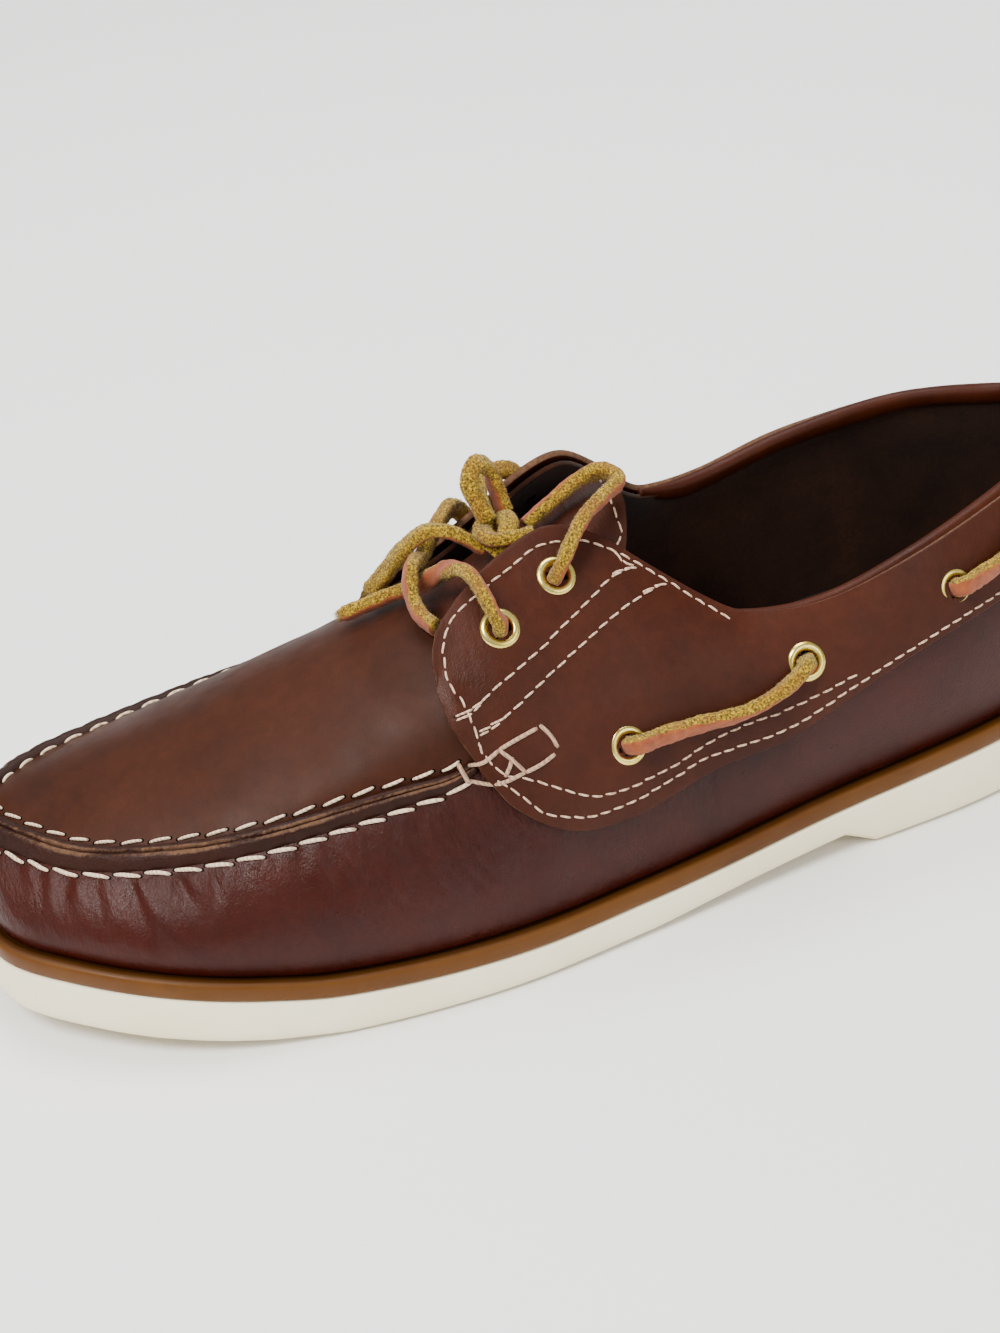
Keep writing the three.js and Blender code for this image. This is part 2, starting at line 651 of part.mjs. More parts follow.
function tongueGeometry() {
  const columns = 6;
  const stationStep = 7;
  const first = TONGUE[0].y;
  const last = TONGUE[TONGUE.length - 1].y;
  const count = Math.round((last - first) / stationStep);
  const sections = range(count + 1).map((i) => {
    const row = interpolate(TONGUE, 'y', first + ((last - first) * i) / count);
    const face = range(columns + 1).map((k) => {
      const share = 1 - (2 * k) / columns;
      return new THREE.Vector3(row.x + share * row.half, row.y, row.z - row.drop * share * share);
    });
    const under = face.map((p, k) => {
      const share = 1 - (2 * k) / columns;
      const lean = Math.atan((2 * row.drop * share) / row.half);
      return new THREE.Vector3(
        p.x - TONGUE_THICKNESS * Math.sin(lean), p.y, p.z - TONGUE_THICKNESS * Math.cos(lean));
    });
    return [...face, ...under.reverse()];
  });
  return loft(sections);
}

// ---------------------------------------------------------------- eyelets and lace

function eyeletGeometry(eyelet) {
  const { hole, barrel, flange, height } = EYELET;
  const under = GAP + 0.15;
  const profile = [
    [hole, -WALL - GAP],
    [barrel, -WALL - GAP],
    [barrel, under],
    [flange, under],
    [flange, height * 0.6],
    [flange - 0.8, height],
    [barrel, height],
    [hole, height * 0.6],
    [hole, -WALL - GAP],
  ].map(([radius, y]) => new THREE.Vector2(radius, y));
  const ringSides = 12;
  const ring = new THREE.LatheGeometry(profile, ringSides);
  return withoutSlivers(mergeVertices(stripAttributes(seat(ring, eyeletSeat(eyelet))), 1e-4));
}

// A lace of round section along a smooth curve through the points.
function laceTube(points, stepLength = 2 * LACE_DIAMETER) {
  const route = new THREE.CatmullRomCurve3(points, false, 'centripetal');
  const sides = 8;
  const section = new THREE.Shape(
    range(sides).map((i) => {
      const angle = (2 * Math.PI * i) / sides;
      const radius = LACE_DIAMETER / 2;
      return new THREE.Vector2(radius * Math.cos(angle), radius * Math.sin(angle));
    }),
  );
  return new THREE.ExtrudeGeometry(section, {
    steps: Math.max(4, Math.round(route.getLength() / stepLength)),
    extrudePath: route,
  });
}

// The lace between two side eyelets: out of one hole, along the wall, and into the other.
function laceBarGeometry(side, { from, to, sag }) {
  const ends = [from, to].map((name) => EYELETS.find((e) => e.name === name && e.side === side));
  const outBy = ({ centre, axis }, distance) => centre.clone().addScaledVector(axis, distance);
  const clear = EYELET.height + LACE_DIAMETER / 2 + 2 * GAP;
  const between = [0.16, 0.38, 0.62, 0.84].map((share) =>
    outBy(
      eyeletSeat({
        side,
        soleY: THREE.MathUtils.lerp(ends[0].soleY, ends[1].soleY, share),
        share: THREE.MathUtils.lerp(ends[0].share, ends[1].share, share)
          - sag * Math.sin(Math.PI * share),
      }),
      clear,
    ));
  const [first, last] = ends.map(eyeletSeat);
  const leave = (end, towards) => [
    outBy(end, GAP),
    outBy(end, LACE_DIAMETER / 2),
    outBy(end, clear).lerp(towards, 0.15),
  ];
  return laceTube(
    [
      ...leave(first, between[0]),
      ...between,
      ...leave(last, between[between.length - 1]).reverse(),
    ],
    LACE_DIAMETER,
  );
}

const asPoints = (rows) => rows.map((row) => new THREE.Vector3(...row));

function knotGeometry() {
  return new THREE.SphereGeometry(KNOT.radius, 12, 8).translate(KNOT.x, KNOT.y, KNOT.z);
}

// ---------------------------------------------------------------- the shoe

const LEATHER = { color: 0x4a2318, roughness: 0.45, metalness: 0 };
const FINISHES = {
  outsole: { color: 0xe9e2cf, roughness: 0.7, metalness: 0 },
  midsole: { color: 0x8a5425, roughness: 0.6, metalness: 0 },
  insole: { color: 0x3a221a, roughness: 0.85, metalness: 0 },
  upper: LEATHER,
  tongue: LEATHER,
  eyelet: { color: 0xd9c27a, roughness: 0.25, metalness: 1 },
  lace: { color: 0xa86a26, roughness: 0.9, metalness: 0 },
};

function piece(name, geometry, finish) {
  const mesh = new THREE.Mesh(geometry, new THREE.MeshStandardMaterial(finish));
  mesh.name = name;
  return mesh;
}

const shoe = new THREE.Group();
shoe.add(
  piece('outsole', outsoleGeometry(), FINISHES.outsole),
  piece('midsole', midsoleGeometry(), FINISHES.midsole),
  piece('insole', insoleGeometry(), FINISHES.insole),
  piece('upper', upperGeometry(), FINISHES.upper),
  piece('tongue', tongueGeometry(), FINISHES.tongue),
  piece('lace_crossing', laceTube(asPoints(CROSSING_ROUTE)), FINISHES.lace),
  piece('lace_knot', knotGeometry(), FINISHES.lace),
);
for (const eyelet of EYELETS) {
  const name = `eyelet_${eyelet.side}_${eyelet.name}`;
  shoe.add(piece(name, eyeletGeometry(eyelet), FINISHES.eyelet));
}
for (const side of SIDES) {
  for (const bar of LACE_BARS) {
    shoe.add(piece(`lace_bar_${side}_${bar.name}`, laceBarGeometry(side, bar), FINISHES.lace));
  }
}
for (const [name, route] of Object.entries(LACE_ROUTES)) {
  shoe.add(piece(name, laceTube(asPoints(route), 1.6 * LACE_DIAMETER), FINISHES.lace));
}

export default shoe;
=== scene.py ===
"""Looks for a men's left boat shoe, built round its CAD frame. Lengths in the tables are millimetres."""

import math
import random

import bmesh
import bpy
import numpy as np
from mathutils import Euler, Matrix, Vector
from mathutils.bvhtree import BVHTree


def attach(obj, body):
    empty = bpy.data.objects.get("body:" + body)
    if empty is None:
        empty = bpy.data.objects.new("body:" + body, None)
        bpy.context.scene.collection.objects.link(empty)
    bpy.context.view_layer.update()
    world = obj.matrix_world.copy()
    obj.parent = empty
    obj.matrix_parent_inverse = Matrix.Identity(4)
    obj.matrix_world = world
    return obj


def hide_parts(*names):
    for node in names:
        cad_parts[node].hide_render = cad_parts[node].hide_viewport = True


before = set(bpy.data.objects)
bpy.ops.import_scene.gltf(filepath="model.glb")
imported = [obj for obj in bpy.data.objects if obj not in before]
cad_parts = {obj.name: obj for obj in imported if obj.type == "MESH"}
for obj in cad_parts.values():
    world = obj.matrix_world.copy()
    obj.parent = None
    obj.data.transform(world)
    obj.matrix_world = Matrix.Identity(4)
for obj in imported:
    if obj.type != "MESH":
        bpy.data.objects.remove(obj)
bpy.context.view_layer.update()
MM = 0.001

# ---------------------------------------------------------------- the last's shape, as in the CAD

HALF_LENGTH = 150.0
GAP = 0.3
LEDGE = 3.8
WALL = 2.2
BAND = 5.0
SEAM_SHARE = 0.62
LOW_SWELL_AT = 0.42
SIDES = ("lateral", "medial")

# y, then x of the lateral and the medial side
OUTLINE = [
    (-150, -10, -10), (-146.5, 10, -28.5), (-134, 24.8, -42.5), (-112, 40.3, -51), (-80, 49.8, -54.5),
    (-40, 54, -51), (0, 50.7, -43.5), (45, 45.6, -38.5), (95, 42, -38), (128, 32.4, -29.5),
    (145, 18, -14.5), (150, 2, 2),
]
# y, then height of the tread and of the joint between outsole and band
SOLE_PROFILE = [
    (-150, 7.5, 20.2), (-132, 6, 18.6), (-114, 4.2, 16.4), (-95, 1.6, 13.2), (-78, 0, 10.6), (-30, 0, 8.8),
    (0, 0.5, 9.2), (25, 2.6, 10.2), (54, 4.6, 12.4), (62.5, 0, 13.1), (90, 0, 14.9), (118, 0, 15.2),
    (150, 0, 13.6),
]
# soleY, x, y, z, low swell, high swell, drop
SEAM_WALL = {
    "lateral": [
        (-150, -18, -138.5, 44.6, 2.4, 7, 2.5), (-142.5, -8.5, -136, 44.6, 2.4, 7, 2.5),
        (-131, 8.5, -123.5, 43.8, 2.6, 8, 3), (-110, 20.5, -106, 44.8, 2.8, 9, 4),
        (-86, 29.8, -85.3, 47.4, 2.6, 9, 5), (-58, 35.6, -56, 50.8, 2.2, 9, 6),
        (-37, 38.4, -37, 51.8, 2, 8, 8),
    ],
    "medial": [
        (-150, -18, -138.5, 44.6, 2.4, 7, 2.5), (-143, -26.5, -135, 44.8, 2.4, 7, 2.5),
        (-131, -33.6, -124.5, 45.2, 2.4, 6, 3), (-108, -37, -104.5, 46.4, 2.4, 6, 4),
        (-82, -39, -80, 48, 2.2, 7, 5), (-55, -38.8, -53, 50, 2.2, 7, 6),
        (-35, -37.6, -35, 51.2, 2, 7, 8),
    ],
}
# along, rise, power, skew
PLUG = [
    (0, 0, 0.9, 1), (0.18, 3.4, 0.9, 1), (0.42, 8.2, 0.85, 0.98), (0.66, 13.8, 0.76, 0.94),
    (0.85, 19.4, 0.67, 0.89), (1, 24, 0.6, 0.85),
]
QUARTER_WALL = {
    "lateral": [
        (-33, 22.8, -34.8, 74.4, 2, 14.2, 17), (-22, 18.2, -25, 82.4, 2.4, 19, 18),
        (-12, 13.2, -12.5, 87.2, 2.8, 22, 19), (-1, 10.4, -1, 89.4, 3, 22.6, 19),
        (9, 12.4, 8.5, 86.2, 3.2, 21, 16), (19, 17.6, 18, 78.6, 3.4, 17.5, 12),
        (28, 23.6, 27.5, 70.8, 3.6, 16, 11), (37, 28.8, 36.5, 65.6, 3.6, 14.5, 11),
        (56, 32.6, 55, 64.9, 3.6, 12.5, 13), (80, 32, 79, 69.4, 3.2, 10, 16),
        (108, 26, 106.5, 74.6, 2.8, 9, 20), (133, 15.8, 130.5, 78.2, 2.4, 6.5, 24),
        (143.5, 9.8, 141.2, 80.3, 2.2, 4.6, 27), (150, 1.7, 145, 81.2, 2, 3.6, 28),
    ],
    "medial": [
        (-31, -24.4, -33.4, 68.8, 2, 10, 14), (-20, -21, -21.5, 75.4, 2.2, 13, 16),
        (-9, -17.4, -9.4, 84, 2.4, 16, 19), (3, -13.6, 2.6, 93.6, 2.6, 18, 22),
        (13, -13.6, 12.4, 95.6, 2.8, 17, 21), (22, -18, 22.4, 87.6, 3, 14, 16),
        (30, -23, 31, 77.6, 3, 12, 12), (38, -26.6, 38.2, 73, 3, 10, 12),
        (56, -29.6, 55, 72.4, 3, 9, 14), (80, -29.6, 79, 76.8, 2.8, 8, 18),
        (108, -24.6, 107, 81, 2.6, 7.5, 22), (133, -13.4, 131, 81.6, 2.4, 6, 25),
        (143.5, -6.4, 141.4, 81.4, 2.2, 4.6, 27), (150, 1.7, 145, 81.2, 2, 3.6, 28),
    ],
}
# y, x, z, half width, fall to the sides
TONGUE = [
    (-50, 0.5, 66.4, 19, 5.6), (-36, 0.5, 71.6, 21.5, 9), (-20, 0, 78.8, 21, 13.5), (-4, -1, 85.8, 20, 14.5),
    (8, -2, 90.8, 18.5, 15), (17, -2.4, 93, 17.5, 15), (21, -2.6, 93.8, 14, 9.6),
]
# side, soleY, share of the wall's curve
EYELETS = {
    "eyelet_lateral_throat_rear": ("lateral", -4.5, 0.89),
    "eyelet_lateral_throat_front": ("lateral", -19, 0.875),
    "eyelet_lateral_side_1": ("lateral", -0.5, 0.395),
    "eyelet_lateral_side_2": ("lateral", 48, 0.735),
    "eyelet_lateral_side_3": ("lateral", 89.5, 0.765),
    "eyelet_lateral_side_4": ("lateral", 128, 0.84),
    "eyelet_medial_throat_rear": ("medial", 4.5, 0.875),
    "eyelet_medial_throat_front": ("medial", -9.5, 0.9),
    "eyelet_medial_side_1": ("medial", 3, 0.385),
    "eyelet_medial_side_2": ("medial", 50.5, 0.66),
    "eyelet_medial_side_3": ("medial", 90.5, 0.72),
    "eyelet_medial_side_4": ("medial", 128, 0.82),
}


def interpolate(rows, at, smooth=True):
    """All columns of a table at a value of its first column, by the smooth curve that the CAD uses."""
    rows = np.asarray(rows, float)
    i = int(np.clip(np.searchsorted(rows[:, 0], at, side="left") - 1, 0, len(rows) - 2))
    a, b = rows[i], rows[i + 1]
    before, after = rows[max(i - 1, 0)], rows[min(i + 2, len(rows) - 1)]
    span = b[0] - a[0]
    t = min(1.0, max(0.0, (at - a[0]) / span))
    line = a + (b - a) * t
    if not smooth:
        return line
    slope_a = (b - before) / (b[0] - before[0]) * span
    slope_b = (after - a) / (after[0] - a[0]) * span
    return line + t * (1 - t) * ((slope_a - (b - a)) * (1 - t) - (slope_b - (b - a)) * t)


def unit(vector):
    return vector / np.linalg.norm(vector)


def unit_rows(vectors):
    return vectors / np.linalg.norm(vectors, axis=1, keepdims=True)


def centripetal_factors(p):
    """What t, t squared and t cubed are multiplied by on a curve's stretch from p[1] to p[2]."""
    d = [max(math.dist(p[j], p[j + 1]) ** 0.5, 1e-4) for j in range(3)]
    m1 = ((p[1] - p[0]) / d[0] - (p[2] - p[0]) / (d[0] + d[1]) + (p[2] - p[1]) / d[1]) * d[1]
    m2 = ((p[2] - p[1]) / d[1] - (p[3] - p[1]) / (d[1] + d[2]) + (p[3] - p[2]) / d[2]) * d[1]
    return m1, -3 * p[1] + 3 * p[2] - 2 * m1 - m2, 2 * p[1] - 2 * p[2] + m1 + m2


def closed_centripetal(ring, steps):
    """Points and directions on the closed centripetal Catmull-Rom curve through the ring."""
    count = len(ring)
    points, directions = [], []
    for k in range(steps):
        place = count * k / steps
        i = int(place)
        t = place - i
        p = [ring[(i + j) % count] for j in (-1, 0, 1, 2)]
        c1, c2, c3 = centripetal_factors(p)
        points.append(p[1] + c1 * t + c2 * t**2 + c3 * t**3)
        directions.append(unit(c1 + 2 * c2 * t + 3 * c3 * t**2))
    return np.array(points), np.array(directions)


def trace_outline():
    """Both halves of the outline, toe tip to heel tip: points and outward directions."""
    ring = [np.array((x, y), float) for y, x, _ in OUTLINE]
    ring += [np.array((x, y), float) for y, _, x in reversed(OUTLINE[1:-1])]
    steps = 480
    points, directions = closed_centripetal(ring, steps)
    outward = np.column_stack([directions[:, 1], -directions[:, 0]])
    toe, heel = int(np.argmin(points[:, 1])), int(np.argmax(points[:, 1]))
    ahead = (heel - toe) % steps
    orders = {
        "lateral": [(toe + i) % steps for i in range(ahead + 1)],
        "medial": [(toe - i) % steps for i in range(steps - ahead + 1)],
    }
    return {side: (points[order], outward[order]) for side, order in orders.items()}


HALVES = trace_outline()


class Line:
    """Half of the outline moved inwards, looked up by y or by the share of its length."""

    def __init__(self, side, inset):
        points, self.out = HALVES[side]
        self.points = points - self.out * inset
        lengths = np.r_[0, np.cumsum(np.linalg.norm(np.diff(self.points, axis=0), axis=1))]
        self.along = lengths / lengths[-1]

    def share_at(self, y):
        order = np.maximum.accumulate(self.points[:, 1])
        return float(np.interp(y, order, self.along))

    def at(self, along):
        """Point and outward direction at a share of the length."""
        place = [np.interp(along, self.along, c) for c in (*self.points.T, *self.out.T)]
        return np.array(place[:2]), unit(np.array(place[2:]))


def tread_z(y):
    return interpolate(SOLE_PROFILE, y, smooth=False)[1]


def joint_z(y):
    return interpolate(SOLE_PROFILE, y)[2]


def band_top_z(y):
    return joint_z(y) + BAND


FEATHER = {side: Line(side, LEDGE) for side in SIDES}


def keyed_rows(side, rows):
    """A wall table keyed by the share of the feather line's length."""
    tips = {-HALF_LENGTH: 0.0, HALF_LENGTH: 1.0}
    return [(tips.get(row[0], FEATHER[side].share_at(row[0])), *row[1:]) for row in rows]


def paired_rows(table, tip):
    """Both sides' rows, carried one row past the toe or heel by the other side's row."""
    own = {side: keyed_rows(side, table[side]) for side in SIDES}
    other = {"lateral": own["medial"], "medial": own["lateral"]}

    def past(row):
        return (2 * tip - row[0], *row[1:])

    if tip == 0:
        return {side: [past(other[side][1]), *own[side]] for side in SIDES}
    return {side: [*own[side], past(other[side][-2])] for side in SIDES}


SEAM_ROWS = paired_rows(SEAM_WALL, 0)
QUARTER_ROWS = paired_rows(QUARTER_WALL, 1)


def wall_controls(side, rows, along):
    """The four control points of the wall's curve, from the feather line to its top."""
    _, x, y, z, low, high, drop = interpolate(rows[side], along)
    foot, out = FEATHER[side].at(along)
    out = np.array((*out, 0))
    bottom = np.array((*foot, band_top_z(foot[1]) + GAP))
    top = np.array((x, y, z))
    rise = z - bottom[2]
    low_pull = bottom + out * low + np.array((0, 0, rise * LOW_SWELL_AT))
    return np.array([bottom, low_pull, top + out * high - np.array((0, 0, drop)), top])


def bezier(controls, t):
    t = np.asarray(t, float)[..., None]
    a, b, c, d = controls
    return a * (1 - t) ** 3 + 3 * b * t * (1 - t) ** 2 + 3 * c * t**2 * (1 - t) + d * t**3


def plug_point(lateral_top, medial_top, along, across):
    _, rise, power, skew = interpolate(PLUG, along)
    across = np.asarray(across, float)
    points = lateral_top + (medial_top - lateral_top) * across[:, None]
    points[:, 2] += rise * np.clip(np.sin(math.pi * across**skew), 0, None) ** power
    return points


def quarter_point(side, sole_y, share):
    """A point of the wall behind the seam, by where it leaves the sole and its share of the height."""
    return bezier(wall_controls(side, QUARTER_ROWS, FEATHER[side].share_at(sole_y)), share)


# ---------------------------------------------------------------- camera, at the photograph's angle

CAMERA_PLACE = (0.52583, -0.17685, 0.38488)
CAMERA_ANGLES = (58.399, 6.75, 68.908)

camera_data = bpy.data.cameras.new("camera")
camera_data.sensor_width, camera_data.lens = 36, 71.838
camera_data.shift_x, camera_data.shift_y = 0.005476, 0.008702
camera_data.clip_start, camera_data.clip_end = 0.01, 50
camera = bpy.data.objects.new("camera", camera_data)
bpy.context.scene.collection.objects.link(camera)
turn = Euler([math.radians(angle) for angle in CAMERA_ANGLES])
camera.matrix_world = Matrix.LocRotScale(Vector(CAMERA_PLACE), turn, None)
bpy.context.scene.camera = camera

# ---------------------------------------------------------------- materials


class Nodes:
    """A material's node tree, with short calls for the nodes used here."""

    def __init__(self, name):
        self.material = bpy.data.materials.new(name)
        self.material.use_nodes = True
        self.tree = self.material.node_tree
        self.shader = self.tree.nodes["Principled BSDF"]
        coords = self.tree.nodes.new("ShaderNodeTexCoord")
        self.place = coords.outputs["Object"]

    def add(self, kind, inputs=(), **settings):
        node = self.tree.nodes.new(kind)
        for key, value in settings.items():
            setattr(node, key, value)
        for key, value in dict(inputs).items():
            self.feed(node.inputs[key], value)
        return node

    def feed(self, socket, value):
        if isinstance(value, bpy.types.NodeSocket):
            self.tree.links.new(value, socket)
        else:
            socket.default_value = value

    def noise(self, scale, detail=4.0, roughness=0.55, stretch=None):
        place = self.place
        if stretch:
            place = self.add("ShaderNodeMapping", {"Vector": place, "Scale": stretch}).outputs[0]
        values = {"Vector": place, "Scale": scale, "Detail": detail, "Roughness": roughness}
        return self.add("ShaderNodeTexNoise", values).outputs[0]

    def ramp(self, factor, stops):
        node = self.add("ShaderNodeValToRGB", {0: factor})
        elements = node.color_ramp.elements
        while len(elements) < len(stops):
            elements.new(0.5)
        for element, (place, colour) in zip(elements, stops):
            element.position = place
            element.color = (*colour, 1) if len(colour) == 3 else colour
        return node.outputs[0]

    def grey(self, factor, low, high, start=0.3, end=0.7):
        """A number from low to high as the factor goes from start to end."""
        values = {"Value": factor, "From Min": start, "From Max": end, "To Min": low, "To Max": high}
        return self.add("ShaderNodeMapRange", values).outputs[0]

    def mix(self, factor, a, b, blend="MIX"):
        node = self.add("ShaderNodeMix", data_type="RGBA", blend_type=blend)
        for index, value in ((0, factor), (6, a), (7, b)):
            if not isinstance(value, bpy.types.NodeSocket) and not isinstance(value, (int, float)):
                value = (*value, 1)
            self.feed(node.inputs[index], value)
        return node.outputs[2]

    def math(self, operation, a, b=0.0):
        return self.add("ShaderNodeMath", {0: a, 1: b}, operation=operation).outputs[0]

    def attribute(self, name):
        return self.add("ShaderNodeAttribute", attribute_name=name).outputs["Fac"]

    def bump(self, height, strength, distance, under=None):
        values = {"Height": height, "Strength": strength, "Distance": distance}
        if under:
            values["Normal"] = under
        return self.add("ShaderNodeBump", values).outputs[0]

    def finish(self, colour, roughness, normal, **constants):
        self.feed(self.shader.inputs["Base Color"], colour)
        self.feed(self.shader.inputs["Roughness"], roughness)
        self.feed(self.shader.inputs["Normal"], normal)
        for key, value in constants.items():
            self.shader.inputs[key.replace("_", " ")].default_value = value
        return self.material


def leather(name, dark, light, raw, roughness=0.45, grain=0.3, wrinkle=0.0, specular=0.5):
    """Smooth pull-up leather: mottled, finely grained, paler and rough where it was cut or rubbed."""
    n = Nodes(name)
    cloud = n.noise(22, 5, 0.6)
    speck = n.noise(420, 3, 0.6)
    body = n.ramp(cloud, [(0.32, dark), (0.68, light)])
    blotch = n.grey(n.noise(95, 6, 0.7), 0.0, 0.45, 0.42, 0.7)
    body = n.mix(blotch, body, [c * 1.35 for c in light])
    body = n.mix(n.grey(speck, 0.0, 0.22), body, [c * 0.55 for c in dark])
    scuff = n.grey(n.noise(60, 8, 0.75, (1, 0.35, 1)), 0.0, 0.35, 0.58, 0.75)
    body = n.mix(scuff, body, [c * 1.5 for c in light])
    crust = n.ramp(n.noise(700, 4, 0.7), [(0.3, [c * 0.35 for c in raw]), (0.7, raw)])
    worn = n.math("MULTIPLY", n.attribute("edge"), n.grey(n.noise(180, 4), 0.6, 1.2))
    edge = n.grey(worn, 0, 1, 0.35, 0.8)
    colour = n.mix(edge, body, crust)
    cells = n.add("ShaderNodeTexVoronoi", {"Vector": n.place, "Scale": 1150}, feature="DISTANCE_TO_EDGE")
    pores = n.grey(cells.outputs["Distance"], 0, 1, 0, 0.12)
    normal = n.bump(pores, grain * 0.5, 0.00012)
    normal = n.bump(n.noise(2600, 3, 0.6), grain * 0.35, 0.00008, normal)
    normal = n.bump(n.noise(150, 4, 0.6), grain * 0.6, 0.0005, normal)
    if wrinkle:
        folds = n.noise(260, 5, 0.65, (1, 2.4, 0.7))
        mask = n.math("MULTIPLY", n.attribute("wrinkle"), folds)
        normal = n.bump(mask, wrinkle, 0.0012, normal)
    rough = n.grey(n.noise(55, 5, 0.6), roughness - 0.09, roughness + 0.12)
    rough = n.math("MAXIMUM", rough, n.math("MULTIPLY", edge, 0.85))
    return n.finish(colour, rough, normal, Specular_IOR_Level=specular)


def suede(name, dark, light, sheen=0.35):
    n = Nodes(name)
    nap = n.noise(900, 5, 0.75)
    wide = n.noise(38, 5, 0.65)
    cloud = n.ramp(wide, [(0.3, dark), (0.72, light)])
    colour = n.mix(n.grey(nap, 0.0, 0.5), cloud, [c * 0.5 for c in dark])
    normal = n.bump(n.noise(1500, 4, 0.8), 0.55, 0.00035)
    normal = n.bump(wide, 0.5, 0.0012, normal)
    return n.finish(
        colour, n.grey(nap, 0.86, 0.98), normal, Sheen_Weight=sheen, Sheen_Roughness=0.5,
        Specular_IOR_Level=0.1)


def rubber(name, colour_a, colour_b, dirt, roughness=0.5, dirt_from=0.6):
    n = Nodes(name)
    base = n.ramp(n.noise(30, 5, 0.6), [(0.3, colour_a), (0.7, colour_b)])
    smudge = n.grey(n.noise(75, 8, 0.7, (1, 0.5, 1.6)), 0.0, 0.4, dirt_from, dirt_from + 0.16)
    colour = n.mix(smudge, base, dirt)
    colour = n.mix(n.grey(n.attribute("edge"), 0, 0.75, 0, 1), colour, dirt)
    normal = n.bump(n.noise(900, 4, 0.6), 0.15, 0.0002)
    normal = n.bump(n.noise(110, 3, 0.5), 0.12, 0.0006, normal)
    rough = n.grey(n.noise(90, 4), roughness - 0.06, roughness + 0.14)
    return n.finish(colour, rough, normal, Specular_IOR_Level=0.18)


def rawhide():
    """Lace leather: orange on its grain face, a fuzzy mottled yellow on the others."""
    n = Nodes("rawhide")
    flecks = n.noise(1900, 4, 0.75)
    fuzz = n.ramp(flecks, [
        (0.38, (0.035, 0.018, 0.001)), (0.5, (0.20, 0.115, 0.003)), (0.62, (0.60, 0.39, 0.012))])
    fuzz = n.mix(n.grey(n.noise(160, 4), 0, 0.4, 0.48, 0.7), fuzz, (0.22, 0.055, 0.008))
    smooth = n.ramp(n.noise(500, 5, 0.6), [(0.3, (0.20, 0.038, 0.006)), (0.7, (0.34, 0.078, 0.013))])
    worn = n.grey(n.noise(340, 4), -0.35, 0.35)
    side = n.grey(n.math("ADD", n.attribute("grain"), worn), 0, 1, 0.4, 0.65)
    colour = n.mix(side, fuzz, smooth)
    normal = n.bump(n.noise(1700, 5, 0.8), 0.8, 0.0005)
    return n.finish(colour, n.grey(side, 0.95, 0.6, 0, 1), normal, Sheen_Weight=0.15, Specular_IOR_Level=0.3)


def thread(name, pale, dark):
    n = Nodes(name)
    wave = n.add(
        "ShaderNodeTexWave", {"Vector": n.place, "Scale": 420, "Distortion": 3, "Detail": 2},
        wave_type="BANDS", bands_direction="DIAGONAL",
    ).outputs[1]
    # the ramp's dark end lies in the twist's grooves, where the bump sinks: painted shade between the plies
    colour = n.mix(n.grey(n.noise(300, 4), 0, 0.8), n.ramp(wave, [(0.2, dark), (0.6, pale)]), pale)
    return n.finish(colour, n.grey(n.noise(800), 0.6, 0.8), n.bump(wave, 0.5, 0.0002))


def brass():
    n = Nodes("brass")
    tone = n.ramp(n.noise(260, 4, 0.6), [(0.3, (0.58, 0.44, 0.08)), (0.7, (0.80, 0.67, 0.22))])
    normal = n.bump(n.noise(700, 3), 0.05, 0.0002)
    return n.finish(tone, n.grey(n.noise(300, 4), 0.17, 0.32), normal, Metallic=1.0)


RAW_EDGE = (0.15, 0.075, 0.04)
PLUG_LEATHER = leather(
    "plug_leather", (0.024, 0.0056, 0.0018), (0.042, 0.0105, 0.0036), RAW_EDGE, 0.5, 0.3, 0.0, 0.12)
VAMP_LEATHER = leather(
    "vamp_leather", (0.018, 0.0021, 0.0008), (0.036, 0.0043, 0.0016), RAW_EDGE, 0.33, 0.45, 0.9, 0.18)
QUARTER_LEATHER = leather(
    "quarter_leather", (0.028, 0.0056, 0.0018), (0.050, 0.0108, 0.0036), RAW_EDGE, 0.42, 0.42, 0.5, 0.14)
COLLAR_LEATHER = leather(
    "collar_leather", (0.026, 0.0045, 0.0010), (0.046, 0.0088, 0.0020), RAW_EDGE, 0.44, 0.4, 0.0, 0.12)
RIDGE_LEATHER = leather(
    "ridge_leather", (0.010, 0.0022, 0.0009), (0.024, 0.0056, 0.0022), RAW_EDGE, 0.5, 0.7, 0.0, 0.15)
# the lining: dark suede, its colours pushed further down towards black as painted shade of the shoe's
# shadowed inside
LINING_PAINTED_SHADE = suede("lining_suede_painted_shade", (0.010, 0.0030, 0.0012), (0.045, 0.0140, 0.0055), 0.08)
# the sock is coloured near black like the lining: painted shade of the shoe's inside
SOCK_PAINTED_SHADE = suede("sock_leather_painted_shade", (0.012, 0.0038, 0.0016), (0.030, 0.010, 0.0045), 0.05)
OUTSOLE_RUBBER = rubber(
    "outsole_rubber", (0.93, 0.83, 0.56), (0.97, 0.91, 0.68), (0.50, 0.37, 0.18), 0.5, 0.62)
# the welt's near-black mix colour goes on in random smudges and, by the third column of its profile, across
# its top and into the groove under the upper
WELT_RUBBER = rubber(
    "welt_rubber", (0.074, 0.024, 0.0020), (0.104, 0.037, 0.0034), (0.020, 0.006, 0.001), 0.42)
RAWHIDE = rawhide()
# the second colour of each thread is painted shade in its twist's grooves
HAND_THREAD = thread("hand_thread", (0.76, 0.60, 0.43), (0.36, 0.24, 0.14))
BOX_THREAD = thread("box_thread", (0.46, 0.29, 0.19), (0.20, 0.11, 0.065))
FINE_THREAD = thread("fine_thread", (0.66, 0.47, 0.33), (0.32, 0.19, 0.12))
# near-black needle holes: painted shade in the holes
NEEDLE_HOLE_SHADE = suede("needle_hole_painted_shade", (0.003, 0.0015, 0.001), (0.006, 0.003, 0.002), 0.0)
BRASS = brass()

# ---------------------------------------------------------------- mesh helpers

